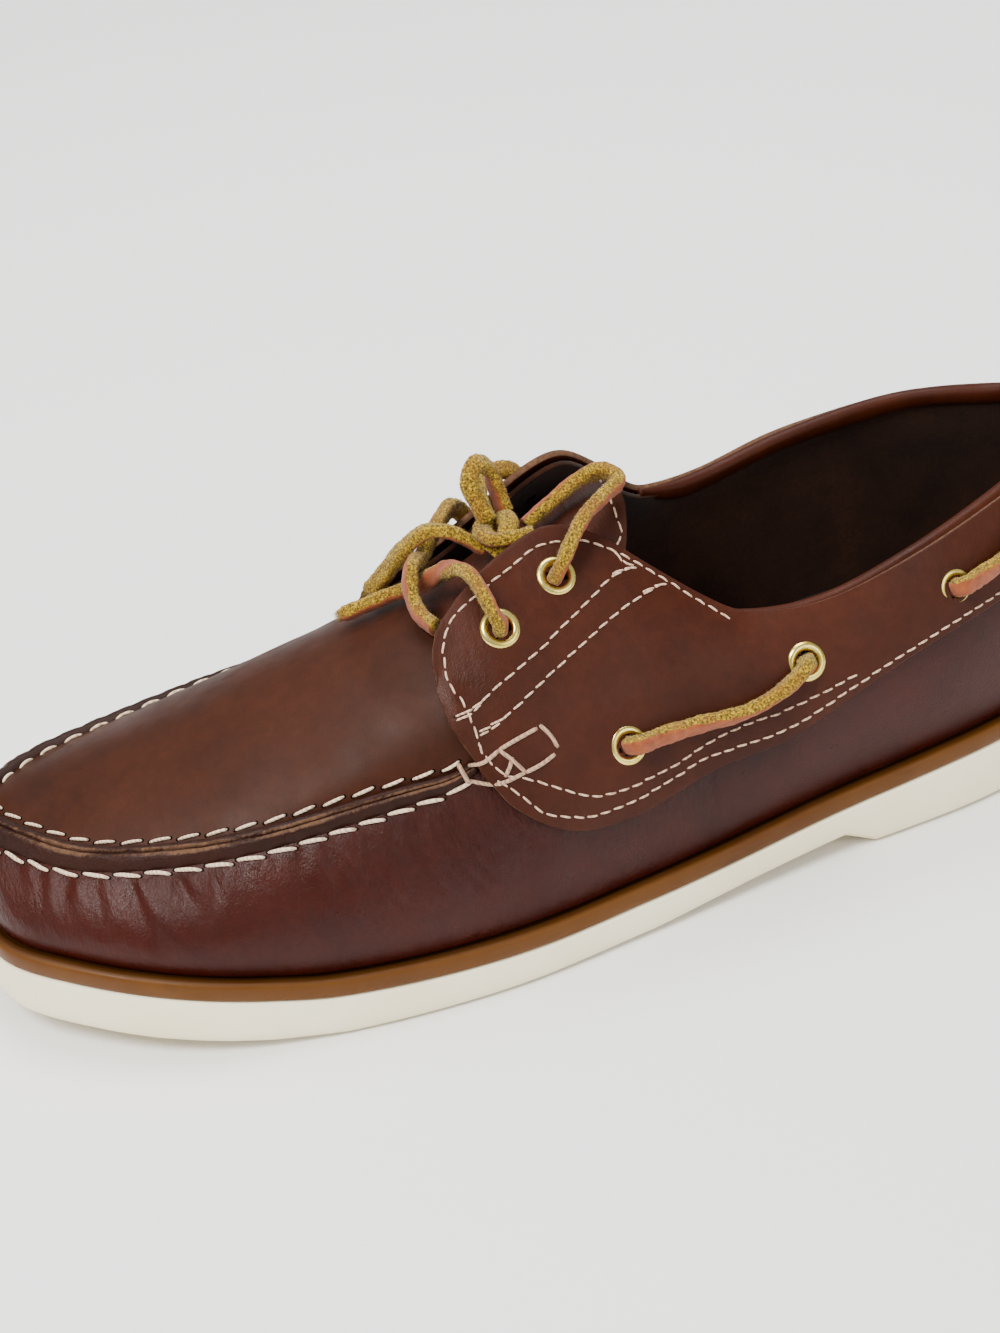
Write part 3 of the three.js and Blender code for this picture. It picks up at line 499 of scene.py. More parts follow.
# how much of a point's x, y and z the middle line follows, and how high it runs
MIDDLE_FOLLOWS, MIDDLE_HEIGHT = (0.15, 0.97, 0), 34


def face_outwards(mesh, weld=False):
    work = bmesh.new()
    work.from_mesh(mesh)
    if weld:
        bmesh.ops.remove_doubles(work, verts=work.verts, dist=1e-6)
    bmesh.ops.recalc_face_normals(work, faces=work.faces)
    work.to_mesh(mesh)
    work.free()


def add_mesh(name, points, faces, material, slot, replaces=(), close=False, **weights):
    """A smooth-shaded piece from points in millimetres, riding on the shoe's one body."""
    mesh = bpy.data.meshes.new(name)
    mesh.from_pydata((np.asarray(points) * MM).tolist(), [], faces)
    for key, values in weights.items():
        layer = mesh.attributes.new(key, "FLOAT", "POINT")
        layer.data.foreach_set("value", np.asarray(values, np.float32))
    if close:
        face_outwards(mesh, weld=True)
    mesh.shade_smooth()
    mesh.materials.append(material)
    piece = bpy.data.objects.new(name, mesh)
    bpy.context.scene.collection.objects.link(piece)
    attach(piece, "root")
    if replaces:
        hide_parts(*replaces)
    return piece


def grid_faces(rows, columns, offset=0, wrap=False, close=False):
    """Faces of a grid of points. `wrap` joins its last row to its first, `close` its columns."""

    def at(i, j):
        return offset + i % rows * columns + j % columns

    return [
        (at(i, j), at(i, j + 1), at(i + 1, j + 1), at(i + 1, j))
        for i in range(rows if wrap else rows - 1)
        for j in range(columns if close else columns - 1)
    ]


def from_middle(points):
    """Vectors from the shoe's middle line, which runs lengthwise, to the points."""
    return points - (points * MIDDLE_FOLLOWS + np.array((0, 0, MIDDLE_HEIGHT)))


def grid_normals(grid, wrap=False):
    """Unit normals of a grid of points, on the side away from the shoe's middle."""
    if wrap:
        along = np.roll(grid, -1, 0) - np.roll(grid, 1, 0)
    else:
        along = np.gradient(grid, axis=0)
    normals = np.cross(along, np.gradient(grid, axis=1))
    lengths = np.linalg.norm(normals, axis=2, keepdims=True)
    normals /= np.maximum(lengths, 1e-9)
    return -normals if np.sum(normals * from_middle(grid)) < 0 else normals


def smoothstep(low, high, value):
    t = np.clip((np.asarray(value, float) - low) / (high - low), 0, 1)
    return t * t * (3 - 2 * t)


def curve_through(points, count):
    """Points evenly spaced on a centripetal Catmull-Rom curve through the given ones."""
    points = np.asarray(points, float)
    ghost = [2 * points[0] - points[1], *points, 2 * points[-1] - points[-2]]
    dense = []
    for i in range(len(points) - 1):
        p = ghost[i : i + 4]
        c1, c2, c3 = centripetal_factors(p)
        for t in np.linspace(0, 1, 24, endpoint=i == len(points) - 2):
            dense.append(p[1] + c1 * t + c2 * t**2 + c3 * t**3)
    return even(np.array(dense), count)


def lengths_of(path):
    return np.r_[0, np.cumsum(np.linalg.norm(np.diff(path, axis=0), axis=1))]


def even(path, count):
    along = lengths_of(path)
    places = np.linspace(0, along[-1], count)
    return np.column_stack([np.interp(places, along, c) for c in path.T])


class Bag:
    """Collects tubes and patches into one mesh."""

    def __init__(self):
        self.points, self.faces, self.weights = [], [], []

    def add(self, points, faces, weight=0.0):
        start = len(self.points)
        self.points.extend(np.asarray(points).tolist())
        self.faces.extend([tuple(start + k for k in face) for face in faces])
        self.weights.extend(np.broadcast_to(weight, len(points)).tolist())

    def tube(self, path, radii, ups, sides=8):
        """A closed tube along a path."""
        path = np.asarray(path, float)
        radii = np.broadcast_to(radii, len(path))
        tangents = unit_rows(np.gradient(path, axis=0))
        angles = np.linspace(0, 2 * math.pi, sides, endpoint=False)
        rings = []
        for p, t, up, r in zip(path, tangents, ups, radii):
            across = np.cross(t, up)
            across /= max(np.linalg.norm(across), 1e-9)
            over = np.cross(across, t)
            rings.append([p + r * (math.cos(a) * across + math.sin(a) * over) for a in angles])
        self.rings(rings)

    def rings(self, rings, weight=0.0):
        sides = len(rings[0])
        points = [p for ring in rings for p in ring]
        faces = grid_faces(len(rings), sides, close=True)
        points += [np.mean(rings[0], axis=0), np.mean(rings[-1], axis=0)]
        last = (len(rings) - 1) * sides
        for k in range(sides):
            faces.append((len(points) - 2, (k + 1) % sides, k))
            faces.append((len(points) - 1, last + k, last + (k + 1) % sides))
        weights = np.broadcast_to(weight, (len(rings), sides)).ravel().tolist() + [0.0, 0.0]
        self.add(points, faces, weights)

    def piece(self, name, material, slot, replaces=(), key="edge"):
        return add_mesh(name, self.points, self.faces, material, slot, replaces, **{key: self.weights})


class Surface:
    """Meshes that other pieces lie on."""

    def __init__(self, *pieces):
        points, faces = [], []
        for piece in pieces:
            start = len(points)
            points += [v.co / MM for v in piece.data.vertices]
            faces += [tuple(start + k for k in f.vertices) for f in piece.data.polygons]
        self.tree = BVHTree.FromPolygons(points, faces)

    @classmethod
    def of_grid(cls, grid):
        """The face of one grid of points."""
        face = cls()
        points = [Vector(p) for p in grid.reshape(-1, 3)]
        face.tree = BVHTree.FromPolygons(points, grid_faces(*grid.shape[:2]))
        return face

    def settle(self, point, above=2.2):
        """The nearest place on the face to a spot a little above the point, and the way out of it."""
        place, _ = self.nearest(point + self.outward(point) * above)
        return place, self.outward(place)

    def nearest(self, point):
        place, normal, _, _ = self.tree.find_nearest(Vector(point))
        return np.array(place), np.array(normal)

    def outward(self, point):
        """The face's direction away from the shoe's middle near a point."""
        _, normal = self.nearest(point)
        return normal if normal @ from_middle(point) > 0 else -normal

    def outermost(self, point, direction, reach=6):
        """Where a line from outside along -direction first meets the surface."""
        direction = Vector(direction).normalized()
        hit = self.tree.ray_cast(Vector(point) + direction * reach, -direction, 2 * reach)
        if hit[0] is None:
            return self.nearest(point)
        normal = np.array(hit[1])
        if np.dot(normal, direction) < 0:
            normal = -normal
        return np.array(hit[0]), normal


# how a cut edge bulges: outwards, share of the thickness, and how raw the leather is
CUT_EDGE = [(0.12, 0.97, 0.25), (0.25, 0.84, 1), (0.28, 0.45, 1), (0.2, 0.1, 1)]


def sweep_shell(grid, top, bottom, material, name, slot, replaces=(), skip=(), normals=None, **extra):
    """A sheet of leather with cut, rounded edges: the grid's face moved out to `top` and `bottom`."""
    rows, columns = grid.shape[:2]
    normals = grid_normals(grid) if normals is None else normals
    top = np.broadcast_to(top, (rows, columns))[..., None]
    bottom = np.broadcast_to(bottom, (rows, columns))[..., None]
    outer, inner = grid + normals * top, grid + normals * bottom
    loop = [(i, 0) for i in range(rows)] + [(rows - 1, j) for j in range(1, columns)]
    loop += [(i, columns - 1) for i in range(rows - 2, -1, -1)]
    loop += [(0, j) for j in range(columns - 2, 0, -1)]
    points = list(outer.reshape(-1, 3)) + list(inner.reshape(-1, 3))
    count = rows * columns
    holes = np.zeros((rows, columns), bool)
    for centre, axis, radius in skip:
        gap = grid - centre
        off = gap - (gap @ axis)[..., None] * axis
        holes |= (np.linalg.norm(off, axis=2) < radius) & (np.linalg.norm(gap, axis=2) < 3 * radius)
    holes = holes.ravel()
    faces = []
    for face in grid_faces(rows, columns):
        if not all(holes[k] for k in face):
            faces.append(face)
            faces.append(tuple(count + k for k in reversed(face)))

    def join(first, second):
        faces.extend(zip(first, first[1:] + first[:1], second[1:] + second[:1], second))

    edge = [0.0] * (2 * count)
    previous = [i * columns + j for i, j in loop]
    for outset, share, raw in CUT_EDGE:
        ring = []
        for i, j in loop:
            inside = grid[min(max(i, 1), rows - 2), min(max(j, 1), columns - 2)]
            out = grid[i, j] - inside
            out = out / max(np.linalg.norm(out), 1e-9)
            ring.append(len(points))
            points.append(inner[i, j] + (outer[i, j] - inner[i, j]) * share + out * outset)
            edge.append(raw)
        join(previous, ring)
        previous = ring
    join(previous, [count + i * columns + j for i, j in loop])
    spare = len(points) - 2 * count
    weights = {"edge": edge}
    for key, values in extra.items():
        flat = np.broadcast_to(values, (rows, columns)).ravel()
        weights[key] = np.r_[flat, flat, np.zeros(spare)]
    piece = add_mesh(name, points, faces, material, slot, replaces, **weights)
    face_outwards(piece.data)
    return piece


# ---------------------------------------------------------------- laces

LACE_DIAMETER = 4.2
KNOT = np.array((3.0, -9.5, 88.0))
LACE_ROUTES = {
    "lace_loop_large": [
        (18.4, -3.9, 83), (19.7, -3.8, 84.4), (20.2, -2.4, 87), (17.8, 1.4, 90.8), (14.2, 6.6, 94.2),
        (10, 13.4, 95.6), (6.2, 18.6, 96.4), (2.2, 16.6, 97.7), (1.2, 10.6, 96.6), (2.2, 2.6, 93.4),
        (3.4, -4.4, 90.3),
    ],
    "lace_loop_small": [
        (0.8, -12.7, 92.6), (-0.6, -14, 97), (-2.2, -15, 102.2), (-3.8, -12.6, 105.2),
        (-5, -9.2, 103), (-4.6, -7.8, 97), (-2.8, -7.2, 91.8),
    ],
    "lace_end_arched": [
        (3.4, -15.2, 86.8), (1.6, -18.6, 89.6), (-0.4, -22.4, 92), (-2.6, -26.8, 92.4),
        (-5.6, -32.2, 87.8), (-9, -36.8, 80.8), (-11.8, -40.6, 75.8),
    ],
    "lace_end_low": [
        (24.2, -20.7, 77.4), (25.9, -20.8, 79.4), (25, -22, 83), (20.8, -22.8, 87), (14.6, -23.6, 88.8),
        (8, -26, 87), (2.4, -29.4, 82.8), (-1.6, -33, 79.4), (-4.2, -37.4, 77.8), (-5.8, -42, 76.2),
        (-8, -49.4, 74),
    ],
    "lace_strand_medial": [
        (-20, 4.8, 86.2), (-21.5, 4.5, 87.4), (-23.2, 2.4, 90.6), (-21.6, -3.6, 92.6),
        (-16.4, -8.8, 91.4), (-9.4, -10.2, 89.6), (-2.8, -10.2, 87.8),
    ],
}
CROSSING_ROUTE = [
    (-22.4, -9.3, 78.1), (-23.9, -9.6, 79.2), (-24.8, -11.2, 82.6), (-20.2, -15.2, 87.2),
    (-12.4, -21.4, 87.6), (-7.2, -26, 86.2), (-3.4, -29.2, 85.4), (1.6, -33, 86.8), (4.8, -34.8, 84),
    (8.2, -35.4, 81), (12.4, -35, 79.2), (17, -33.6, 78.4),
]
# where the knot's own turns pass, round its middle
KNOT_TURNS = [
    [
        (3.6, 4.8, 1.4), (4.9, 0.6, 2.2), (3.4, -4.6, 2.6), (-1.4, -5.2, 3.0), (-4.2, -1.6, 2.2),
        (-3.2, 3.4, 0.2),
    ],
    [(-5.6, -0.6, -0.4), (-3.0, 0.4, 3.2), (0.6, 1.2, 4.4), (3.6, -1.0, 2.6), (3.2, -4.8, -1.2)],
]
HALF_WIDTH, HALF_THICKNESS = 2.15, 1.7
LACE_STEP = 0.42
FIBRE_CHANCE = 0.42


def fibre_width(way, half):
    """From a fibre's middle line to its edge."""
    wide = np.cross(way, (0.3, 0.5, 0.81))
    return wide * (half / np.linalg.norm(wide))


def lace(bag, route, twist, seed=1, free_end=False, up=(0, 0, 1)):
    """A strip of rawhide along a route, its grain face turned by these angles along the way."""
    noise = random.Random(seed)
    path = curve_through(route, max(24, int(lengths_of(np.asarray(route, float))[-1] / LACE_STEP)))
    tangents = unit_rows(np.gradient(path, axis=0))
    side_way = unit(np.cross(tangents[0], up))
    sides = 20
    rings, weights, fibres = [], [], []
    phase = [noise.uniform(0, 6.3) for _ in range(6)]
    along = lengths_of(path)
    for i, (p, t) in enumerate(zip(path, tangents)):
        side_way = unit(side_way - t * np.dot(side_way, t))
        over = np.cross(side_way, t)
        share = along[i] / along[-1]
        turned = math.radians(np.interp(share, np.linspace(0, 1, len(twist)), twist))
        u = side_way * math.cos(turned) + over * math.sin(turned)
        v = np.cross(u, t)
        swell = 1 + 0.035 * math.sin(along[i] * 0.8 + phase[0]) + 0.02 * math.sin(along[i] * 2.3 + phase[1])
        if free_end:
            swell *= 1 - 0.25 * float(smoothstep(along[-1] - 1.6, along[-1], along[i]))
        ring, weight = [], []
        for k in range(sides):
            angle = 2 * math.pi * k / sides
            c, s = math.cos(angle), math.sin(angle)
            square = (abs(c) ** 4 + abs(s) ** 4) ** -0.25
            rough = noise.uniform(-0.11, 0.13) * (0.12 if s > 0.6 else 1.0)
            radius = square * swell
            offset = u * c * (HALF_WIDTH * radius + rough) + v * s * (HALF_THICKNESS * radius + rough)
            ring.append(p + offset)
            weight.append(float(smoothstep(0.35, 0.8, s)))
            if s < 0.55 and noise.random() < FIBRE_CHANCE:
                lean = t * noise.uniform(-1, 1) + u * noise.uniform(-0.6, 0.6)
                fibres.append((p + offset * 0.97, unit(offset) + lean * 0.9, noise.uniform(0.3, 0.85)))
        rings.append(ring)
        weights.append(weight)
    bag.rings(rings, weights)
    for root, way, size in fibres:
        way = unit(way)
        wide = fibre_width(way, 0.05)
        bend = np.cross(way, wide) * noise.uniform(-2, 2)
        bag.add(
            [
                root - wide, root + wide, root + way * size * 0.6 + bend + wide * 0.5,
                root + way * size + 2 * bend,
            ],
            [(0, 1, 2), (0, 2, 3)])
    if free_end:
        for _ in range(90):
            root = path[-1] + u * noise.uniform(-1.4, 1.4) + v * noise.uniform(-1.1, 1.1)
            way = tangents[-1] + u * noise.uniform(-0.5, 0.5) + v * noise.uniform(-0.5, 0.5)
            wide = fibre_width(way, 0.08)
            size = noise.uniform(0.6, 1.8)
            bag.add([root - wide, root + wide, root + way * size], [(0, 1, 2)])
    return path


def lace_piece(name, routes, replaces, **style):
    bag = Bag()
    paths = [lace(bag, route, seed=len(name) + 7 * i, **style) for i, route in enumerate(routes)]
    return bag.piece(name, RAWHIDE, "lace", replaces, key="grain"), paths[0]


LACE_STYLES = {
    "lace_loop_large": {"twist": (-122, -128, -118, -65, -50), "up": (0.3, -1, 0)},
    "lace_loop_small": {"twist": (-128, -128, -120, -90, -70)},
    "lace_end_arched": {"twist": (140, 150, 185, 220, 235), "free_end": True},
    "lace_end_low": {"twist": (-236, -275, -275, -236, -130, -60, -43, -43, -43), "free_end": True},
    "lace_strand_medial": {"twist": (180, 150, 120)},
}
knot_routes = [[KNOT + p for p in turn] for turn in KNOT_TURNS]
knot, _ = lace_piece("rawhide_knot", knot_routes, ["lace_knot"], twist=(140, 200))
for name, route in LACE_ROUTES.items():
    piece, path = lace_piece("rawhide" + name[4:], [route], [name], **LACE_STYLES[name])
    points = even(path, 40) * MM

# ---------------------------------------------------------------- vamp and plug

SEAM_PITCH = 7.0
FRONT_STEPS, REAR_STEPS = 170, 120
WALL_SHARES = np.linspace(0, 1, 52)
REAR_SHARE = 0.74


def front_shares():
    return np.linspace(0, 1, FRONT_STEPS) ** 1.12


def front_wall(side, share, t):
    end = SEAM_ROWS[side][-1][0]
    return bezier(wall_controls(side, SEAM_ROWS, end * share), t)


def rear_wall(side, share, t):
    start = QUARTER_ROWS[side][0][0]
    return bezier(wall_controls(side, QUARTER_ROWS, start + (1 - start) * share), t)


def vamp_grid():
    """The leather from the sole up, once round the shoe, starting at the toe's tip."""
    halves = {}
    for side in SIDES:
        front = [front_wall(side, s, WALL_SHARES) for s in front_shares()]
        rear = []
        for s in np.linspace(0, 1, REAR_STEPS):
            top = SEAM_SHARE + (REAR_SHARE - SEAM_SHARE) * float(smoothstep(0.02, 0.25, s))
            rear.append(rear_wall(side, s, WALL_SHARES * top))
        bridge = [front[-1] + (rear[0] - front[-1]) * f for f in (0.2, 0.4, 0.6, 0.8)]
        halves[side] = [*front, *bridge, *rear]
    rows = halves["lateral"] + halves["medial"][-2:0:-1]
    grid = np.array(rows)
    for junction in (FRONT_STEPS + 2, len(rows) - FRONT_STEPS - 2):
        low, high = junction - 16, junction + 12
        for _ in range(60):
            window = grid[low - 1 : high + 1]
            mean = (window[:-2] + window[2:]) / 2
            fade = np.sin(np.linspace(0, math.pi, high - low))[:, None, None] ** 0.5
            grid[low:high] += 0.5 * fade * (mean - window[1:-1])
    return grid


VAMP = vamp_grid()
RING = len(VAMP)


def seam_row_index(side):
    """Rows of the ring from the toe's tip to the seam's end on one side."""
    return [i if side == "lateral" else (RING - i) % RING for i in range(FRONT_STEPS)]


def vamp_relief(grid):
    """How far the vamp's leather stands out: gathers at the stitches, drape wrinkles and flex creases."""
    top_down = np.linalg.norm(np.diff(grid, axis=1), axis=2)[:, ::-1].cumsum(1)[:, ::-1]
    below = np.concatenate([top_down, np.zeros((len(grid), 1))], axis=1)
    relief = np.zeros(grid.shape[:2])
    dice = random.Random(5)
    for side in SIDES:
        index = seam_row_index(side)
        b = below[index]
        tops = grid[index, -1]
        along = lengths_of(tops)
        fade = smoothstep(along[-1] + 2, along[-1] - 10, along)
        pinch = np.abs(np.sin(math.pi * along / SEAM_PITCH)) - 0.6
        gather = 0.34 * pinch[:, None] * np.exp(-(((below[index] - 8.2) / 3.6) ** 2))
        relief[index] += gather * fade[:, None]
        place = 4.0
        while place < along[-1] - 12:
            reach = dice.uniform(12, 25)
            depth = dice.uniform(0.3, 0.8) * (1.0 if place < 70 else 0.5)
            wide = dice.uniform(1.3, 2.2)
            drift = dice.uniform(-0.18, 0.24)
            bend = dice.uniform(-0.012, 0.012)
            line = place + drift * (b - 8) + bend * (b - 8) ** 2
            across = (along[:, None] - line) / (wide * (0.6 + b / 24))
            envelope = smoothstep(5.5, 9, b) * (1 - smoothstep(reach * 0.55, reach + 6, b))
            fold = 0.55 * np.exp(-((across - 1.5) ** 2)) - np.exp(-(across**2))
            relief[index] += depth * envelope * fold
            place += dice.uniform(6.2, 12.5)
        for k in range(11):
            start = along[-1] - 3.5 - 2.9 * k
            line = start + (0.42 - 0.03 * k) * (b - 8) + 0.006 * (b - 8) ** 2
            across = (along[:, None] - line) / 0.85
            envelope = smoothstep(6, 10, b) * (1 - smoothstep(18 + 8 * math.sin(k * 1.7) ** 2, 34, b))
            relief[index] -= 0.42 * envelope * np.exp(-(across**2)) * dice.uniform(0.5, 1.1)
    heights = grid[..., 2]
    for y, depth, wide in ((-46, 0.35, 4), (-34, 0.5, 5), (-20, 0.3, 5)):
        bow = y + 6 * np.sin((heights - 18) / 12)
        relief -= depth * np.exp(-(((grid[..., 1] - bow) / wide) ** 2)) * smoothstep(15, 24, heights) * 0.7
    lengthwise = grid[..., 1]
    wrinkle = smoothstep(34, 14, below) * smoothstep(-75, -30, lengthwise) * smoothstep(60, -5, lengthwise)
    return relief, np.clip(wrinkle + 0.35 * (lengthwise < 20), 0, 1)


relief, wrinkle = vamp_relief(VAMP)
vamp_normals = grid_normals(VAMP, wrap=True)
VAMP_FACE = VAMP + vamp_normals * relief[..., None]
count, columns = VAMP.shape[:2]
points = np.concatenate([VAMP_FACE.reshape(-1, 3), (VAMP - vamp_normals * 1.1)[::2, ::3].reshape(-1, 3)])
vamp_faces = grid_faces(count, columns, wrap=True)
inner_rows, inner_columns = VAMP[::2, ::3].shape[:2]
vamp_faces += [f[::-1] for f in grid_faces(inner_rows, inner_columns, count * columns, wrap=True)]
vamp = add_mesh(
    "vamp", points, vamp_faces, VAMP_LEATHER, "upper", ["upper"],
    wrinkle=np.r_[wrinkle.ravel(), np.zeros(len(points) - wrinkle.size)],
)


def plug_grid():
    across = 0.5 - 0.5 * np.cos(np.linspace(0, math.pi, 110))
    rows = []
    for share in np.linspace(0.012, 1, 150):
        ends = [front_wall(side, share, np.array([1.0]))[0] for side in SIDES]
        rows.append(plug_point(*ends, share, across))
    tail = rows[-1] - rows[-4]
    rows += [rows[-1] + tail / 3 * k for k in range(1, 4)]
    return np.array(rows)


PLUG_GRID = plug_grid()
plug_relief = -0.35 * np.exp(-(((PLUG_GRID[..., 1] + 44 + 0.18 * PLUG_GRID[..., 0]) / 1.4) ** 2))
plug_relief *= smoothstep(6, -10, PLUG_GRID[..., 0])
plug_relief -= 0.25 * np.exp(-(((PLUG_GRID[..., 1] + 52) / 5) ** 2))
PLUG_FACE = PLUG_GRID + grid_normals(PLUG_GRID) * plug_relief[..., None]
plug = sweep_shell(PLUG_FACE, 0.0, -1.4, PLUG_LEATHER, "plug", "upper")
BASE = Surface(vamp, plug)

# ---------------------------------------------------------------- moccasin seam

# across the seam from the plug's side to the wall's side: place, height, and how raw the leather is
RIDGE_PROFILE = [
    (-1.2, -0.9, 0), (-0.95, 0.3, 0), (-0.7, 1.2, 0), (-0.25, 1.95, 0), (0.4, 2.3, 0.35), (0.95, 2.35, 1),
    (1.35, 2.1, 1), (1.6, 1.6, 0.5), (1.85, 1.55, 0.3), (2.1, 2.05, 1), (2.6, 2.45, 1), (3.3, 2.4, 0.7),
    (4.0, 2.05, 0), (4.9, 1.5, 0), (5.7, 0.85, 0), (6.3, 0.3, 0), (6.6, -0.4, 0), (5.0, -1.2, 0),
    (2.5, -1.4, 0), (0.4, -1.2, 0),
]


def seam_path():
    """The seam from its lateral end round the toe to its medial end, with its own directions."""
    index = seam_row_index("lateral")[::-1] + seam_row_index("medial")[1:]
    tops = VAMP[index, -1]
    below = VAMP[index, int(0.8 * (len(WALL_SHARES) - 1))]
    tangents = unit_rows(np.gradient(tops, axis=0))
    down = below - tops
    down = unit_rows(down - tangents * np.sum(down * tangents, axis=1, keepdims=True))
    up = np.cross(tangents, down)
    up *= np.sign(up[:, 2:3])
    return tops, tangents, down, up


SEAM, SEAM_TANGENT, SEAM_DOWN, SEAM_UP = seam_path()
SEAM_ALONG = lengths_of(SEAM)
# how far the outer row of stitches lies from the seam, by the length along it from the nearer end
SEAM_SPREAD = [(0, 2.6), (6, 3.9), (22, 5.1), (43, 5.5), (67, 6.1), (100, 6.8), (130, 7.0)]


def seam_spread(place):
    """Width of the seam at a place, as a share of its width at the toe."""
    total = SEAM_ALONG[-1]
    distance = min(place, total - place)
    return float(np.interp(distance, *np.transpose(SEAM_SPREAD))) / SEAM_SPREAD[-1][1]


def seam_at(place):
    """Point and the directions along, down the wall and up, at a length along the seam."""
    parts = [
        np.array([np.interp(place, SEAM_ALONG, c) for c in part.T])
        for part in (SEAM, SEAM_TANGENT, SEAM_DOWN, SEAM_UP)
    ]
    return parts[0], *map(unit, parts[1:])


def ridge():
    noise = random.Random(3)
    bag = Bag()
    rings, weights = [], []
    total = SEAM_ALONG[-1]
    drift = [0.0] * len(RIDGE_PROFILE)
    for place in np.arange(-1.5, total + 1.5, 0.42):
        inside = np.clip(place, 0, total)
        point, tangent, down, up = seam_at(inside)
        point = point + tangent * (place - inside)
        pinch = 1 - 0.09 * abs(math.cos(math.pi * place / SEAM_PITCH)) ** 6
        spread_here = seam_spread(place)
        pinch *= 0.55 + 0.45 * spread_here
        ring, weight = [], []
        for k, (w, h, raw) in enumerate(RIDGE_PROFILE):
            drift[k] = 0.82 * drift[k] + noise.uniform(-0.05, 0.05) * (0.35 + 1.5 * raw)
            outward = w * (0.94 * spread_here if w > 0 else 1) + drift[k] * spread_here
            ring.append(point + down * outward + up * ((h * pinch if h > 0 else h) + drift[k] * 0.9))
            weight.append(raw * (0.75 + 0.25 * math.sin(place * 0.21) + noise.uniform(-0.2, 0.2)))
        rings.append(ring)
        weights.append(weight)
    bag.rings(rings, weights)
    return bag.piece("seam_ridge", RIDGE_LEATHER, "upper")


seam_ridge = ridge()


# offset across the seam, rise, length, radius and slant of the stitches on the wall and on the plug
HAND_ROWS = [(7.0, 0.62, 6.0, 0.5, 0.75), (-1.9, 0.30, 5.0, 0.42, -0.5)]


def hand_stitches():
    """Thick thread over both feet of the ridge, one stitch each pitch."""
    bag, holes = Bag(), Bag()
    total = SEAM_ALONG[-1]
    steps = np.linspace(-0.5, 0.5, 9)
    for offset, rise, length, radius, slant in HAND_ROWS:
        for middle in np.arange(SEAM_PITCH * 0.5, total, SEAM_PITCH):
            path, ups = [], []
            for f in steps:
                point, _, down, up = seam_at(np.clip(middle + f * length, 0, total))
                lift = math.cos(math.pi * f) ** 0.5 if abs(f) < 0.5 else 0
                aside = offset * (seam_spread(middle + f * length) if offset > 0 else 1)
                place, normal = BASE.outermost(point + down * (aside - slant * f * 1.2), up, 5)
                path.append(place + normal * (radius * (1.25 * lift - 0.55)) + up * rise * 0.25 * lift)
                ups.append(normal)
            bag.tube(path, [radius * (0.72 + 0.28 * math.cos(math.pi * f)) for f in steps], ups)
            for end in (0, -1):
                out = unit(path[end] - path[4])
                spot(holes, path[end] + ups[end] * (0.5 * radius + 0.1) + out * 0.12, ups[end], 0.5)
    bag.piece("seam_stitches", HAND_THREAD, None)
    holes.piece("seam_holes", NEEDLE_HOLE_SHADE, None)


def spot(bag, centre, normal, radius):
    """A small dimple where a needle went in, coloured near black as painted shade in the hole."""
    across = unit(np.cross(normal, (0.37, 0.61, 0.7)))
    over = np.cross(normal, across)
    ring = [
        centre - normal * 0.02 + radius * (math.cos(a) * across + math.sin(a) * over)
        for a in np.linspace(0, 2 * math.pi, 8, endpoint=False)
    ]
    under = [p - normal * 0.35 for p in ring]
    bag.rings([under, ring])


hand_stitches()

# ---------------------------------------------------------------- eyelets

EYELET_PROFILE = [
    (2.65, -2.4), (2.6, 0.2), (2.72, 0.75), (3.05, 1.15), (3.6, 1.3), (4.2, 1.18), (4.68, 0.8), (4.9, 0.35),
    (4.9, 0.05), (4.5, -0.05), (3.1, -0.1), (3.1, -2.4),
]
LEATHER_RISE = 1.0


def eyelet_seat(side, sole_y, share):
    """Centre on the leather and outward axis."""
    centre = quarter_point(side, sole_y, np.array([share]))[0]

    def point(y, height):
        return quarter_point(side, y, [height])[0]

    lengthwise = point(sole_y + 1, share) - point(sole_y - 1, share)
    axis = unit(np.cross(lengthwise, point(sole_y, share + 0.02) - point(sole_y, share - 0.02)))
    return centre, axis if side == "lateral" else -axis


SEATS = {name: eyelet_seat(*facts) for name, facts in EYELETS.items()}


def eyelet(name):
    centre, axis = SEATS[name]
    across = unit(np.cross(axis, (0, 0, 1.0)))
    over = np.cross(axis, across)
    around = 56
    points = [
        centre + axis * (h + LEATHER_RISE) + r * (math.cos(a) * across + math.sin(a) * over)
        for r, h in EYELET_PROFILE
        for a in np.linspace(0, 2 * math.pi, around, endpoint=False)
    ]
    faces = grid_faces(len(EYELET_PROFILE), around, wrap=True, close=True)
    add_mesh(name.replace("eyelet", "brass"), points, faces, BRASS, "eyelet", [name], close=True)


for name in EYELETS:
    eyelet(name)

# ---------------------------------------------------------------- quarters, collar and lining

# where the quarter's lower and upper cut edges run: by soleY, the share of the wall's height
QUARTER_LOW = [
    (-37.8, 0.87), (-37.4, 0.815), (-36.9, 0.765), (-36.2, 0.72), (-35, 0.66), (-33.8, 0.605), (-32.8, 0.55),
    (-31.2, 0.478), (-29.5, 0.422), (-24, 0.319), (-17.7, 0.249), (-10.8, 0.214), (0.9, 0.205),
    (13.3, 0.245), (25.3, 0.308), (38, 0.378), (61, 0.515), (81, 0.575), (102, 0.60), (125, 0.62),
    (150, 0.64),
]
QUARTER_TOP = [
    (-37.8, 0.91), (-37.4, 0.965), (-36.8, 1.005), (-35.8, 1.04), (-33.8, 1.062), (-31.5, 1.07),
    (-27.2, 1.055),
    (-20, 1.04), (-10, 1.03), (0, 1.02), (10, 1.01), (20, 1.0), (36, 1.0), (60, 0.985), (100, 0.985),
    (150, 0.985),
]
QUARTER_THICKNESS = 1.9


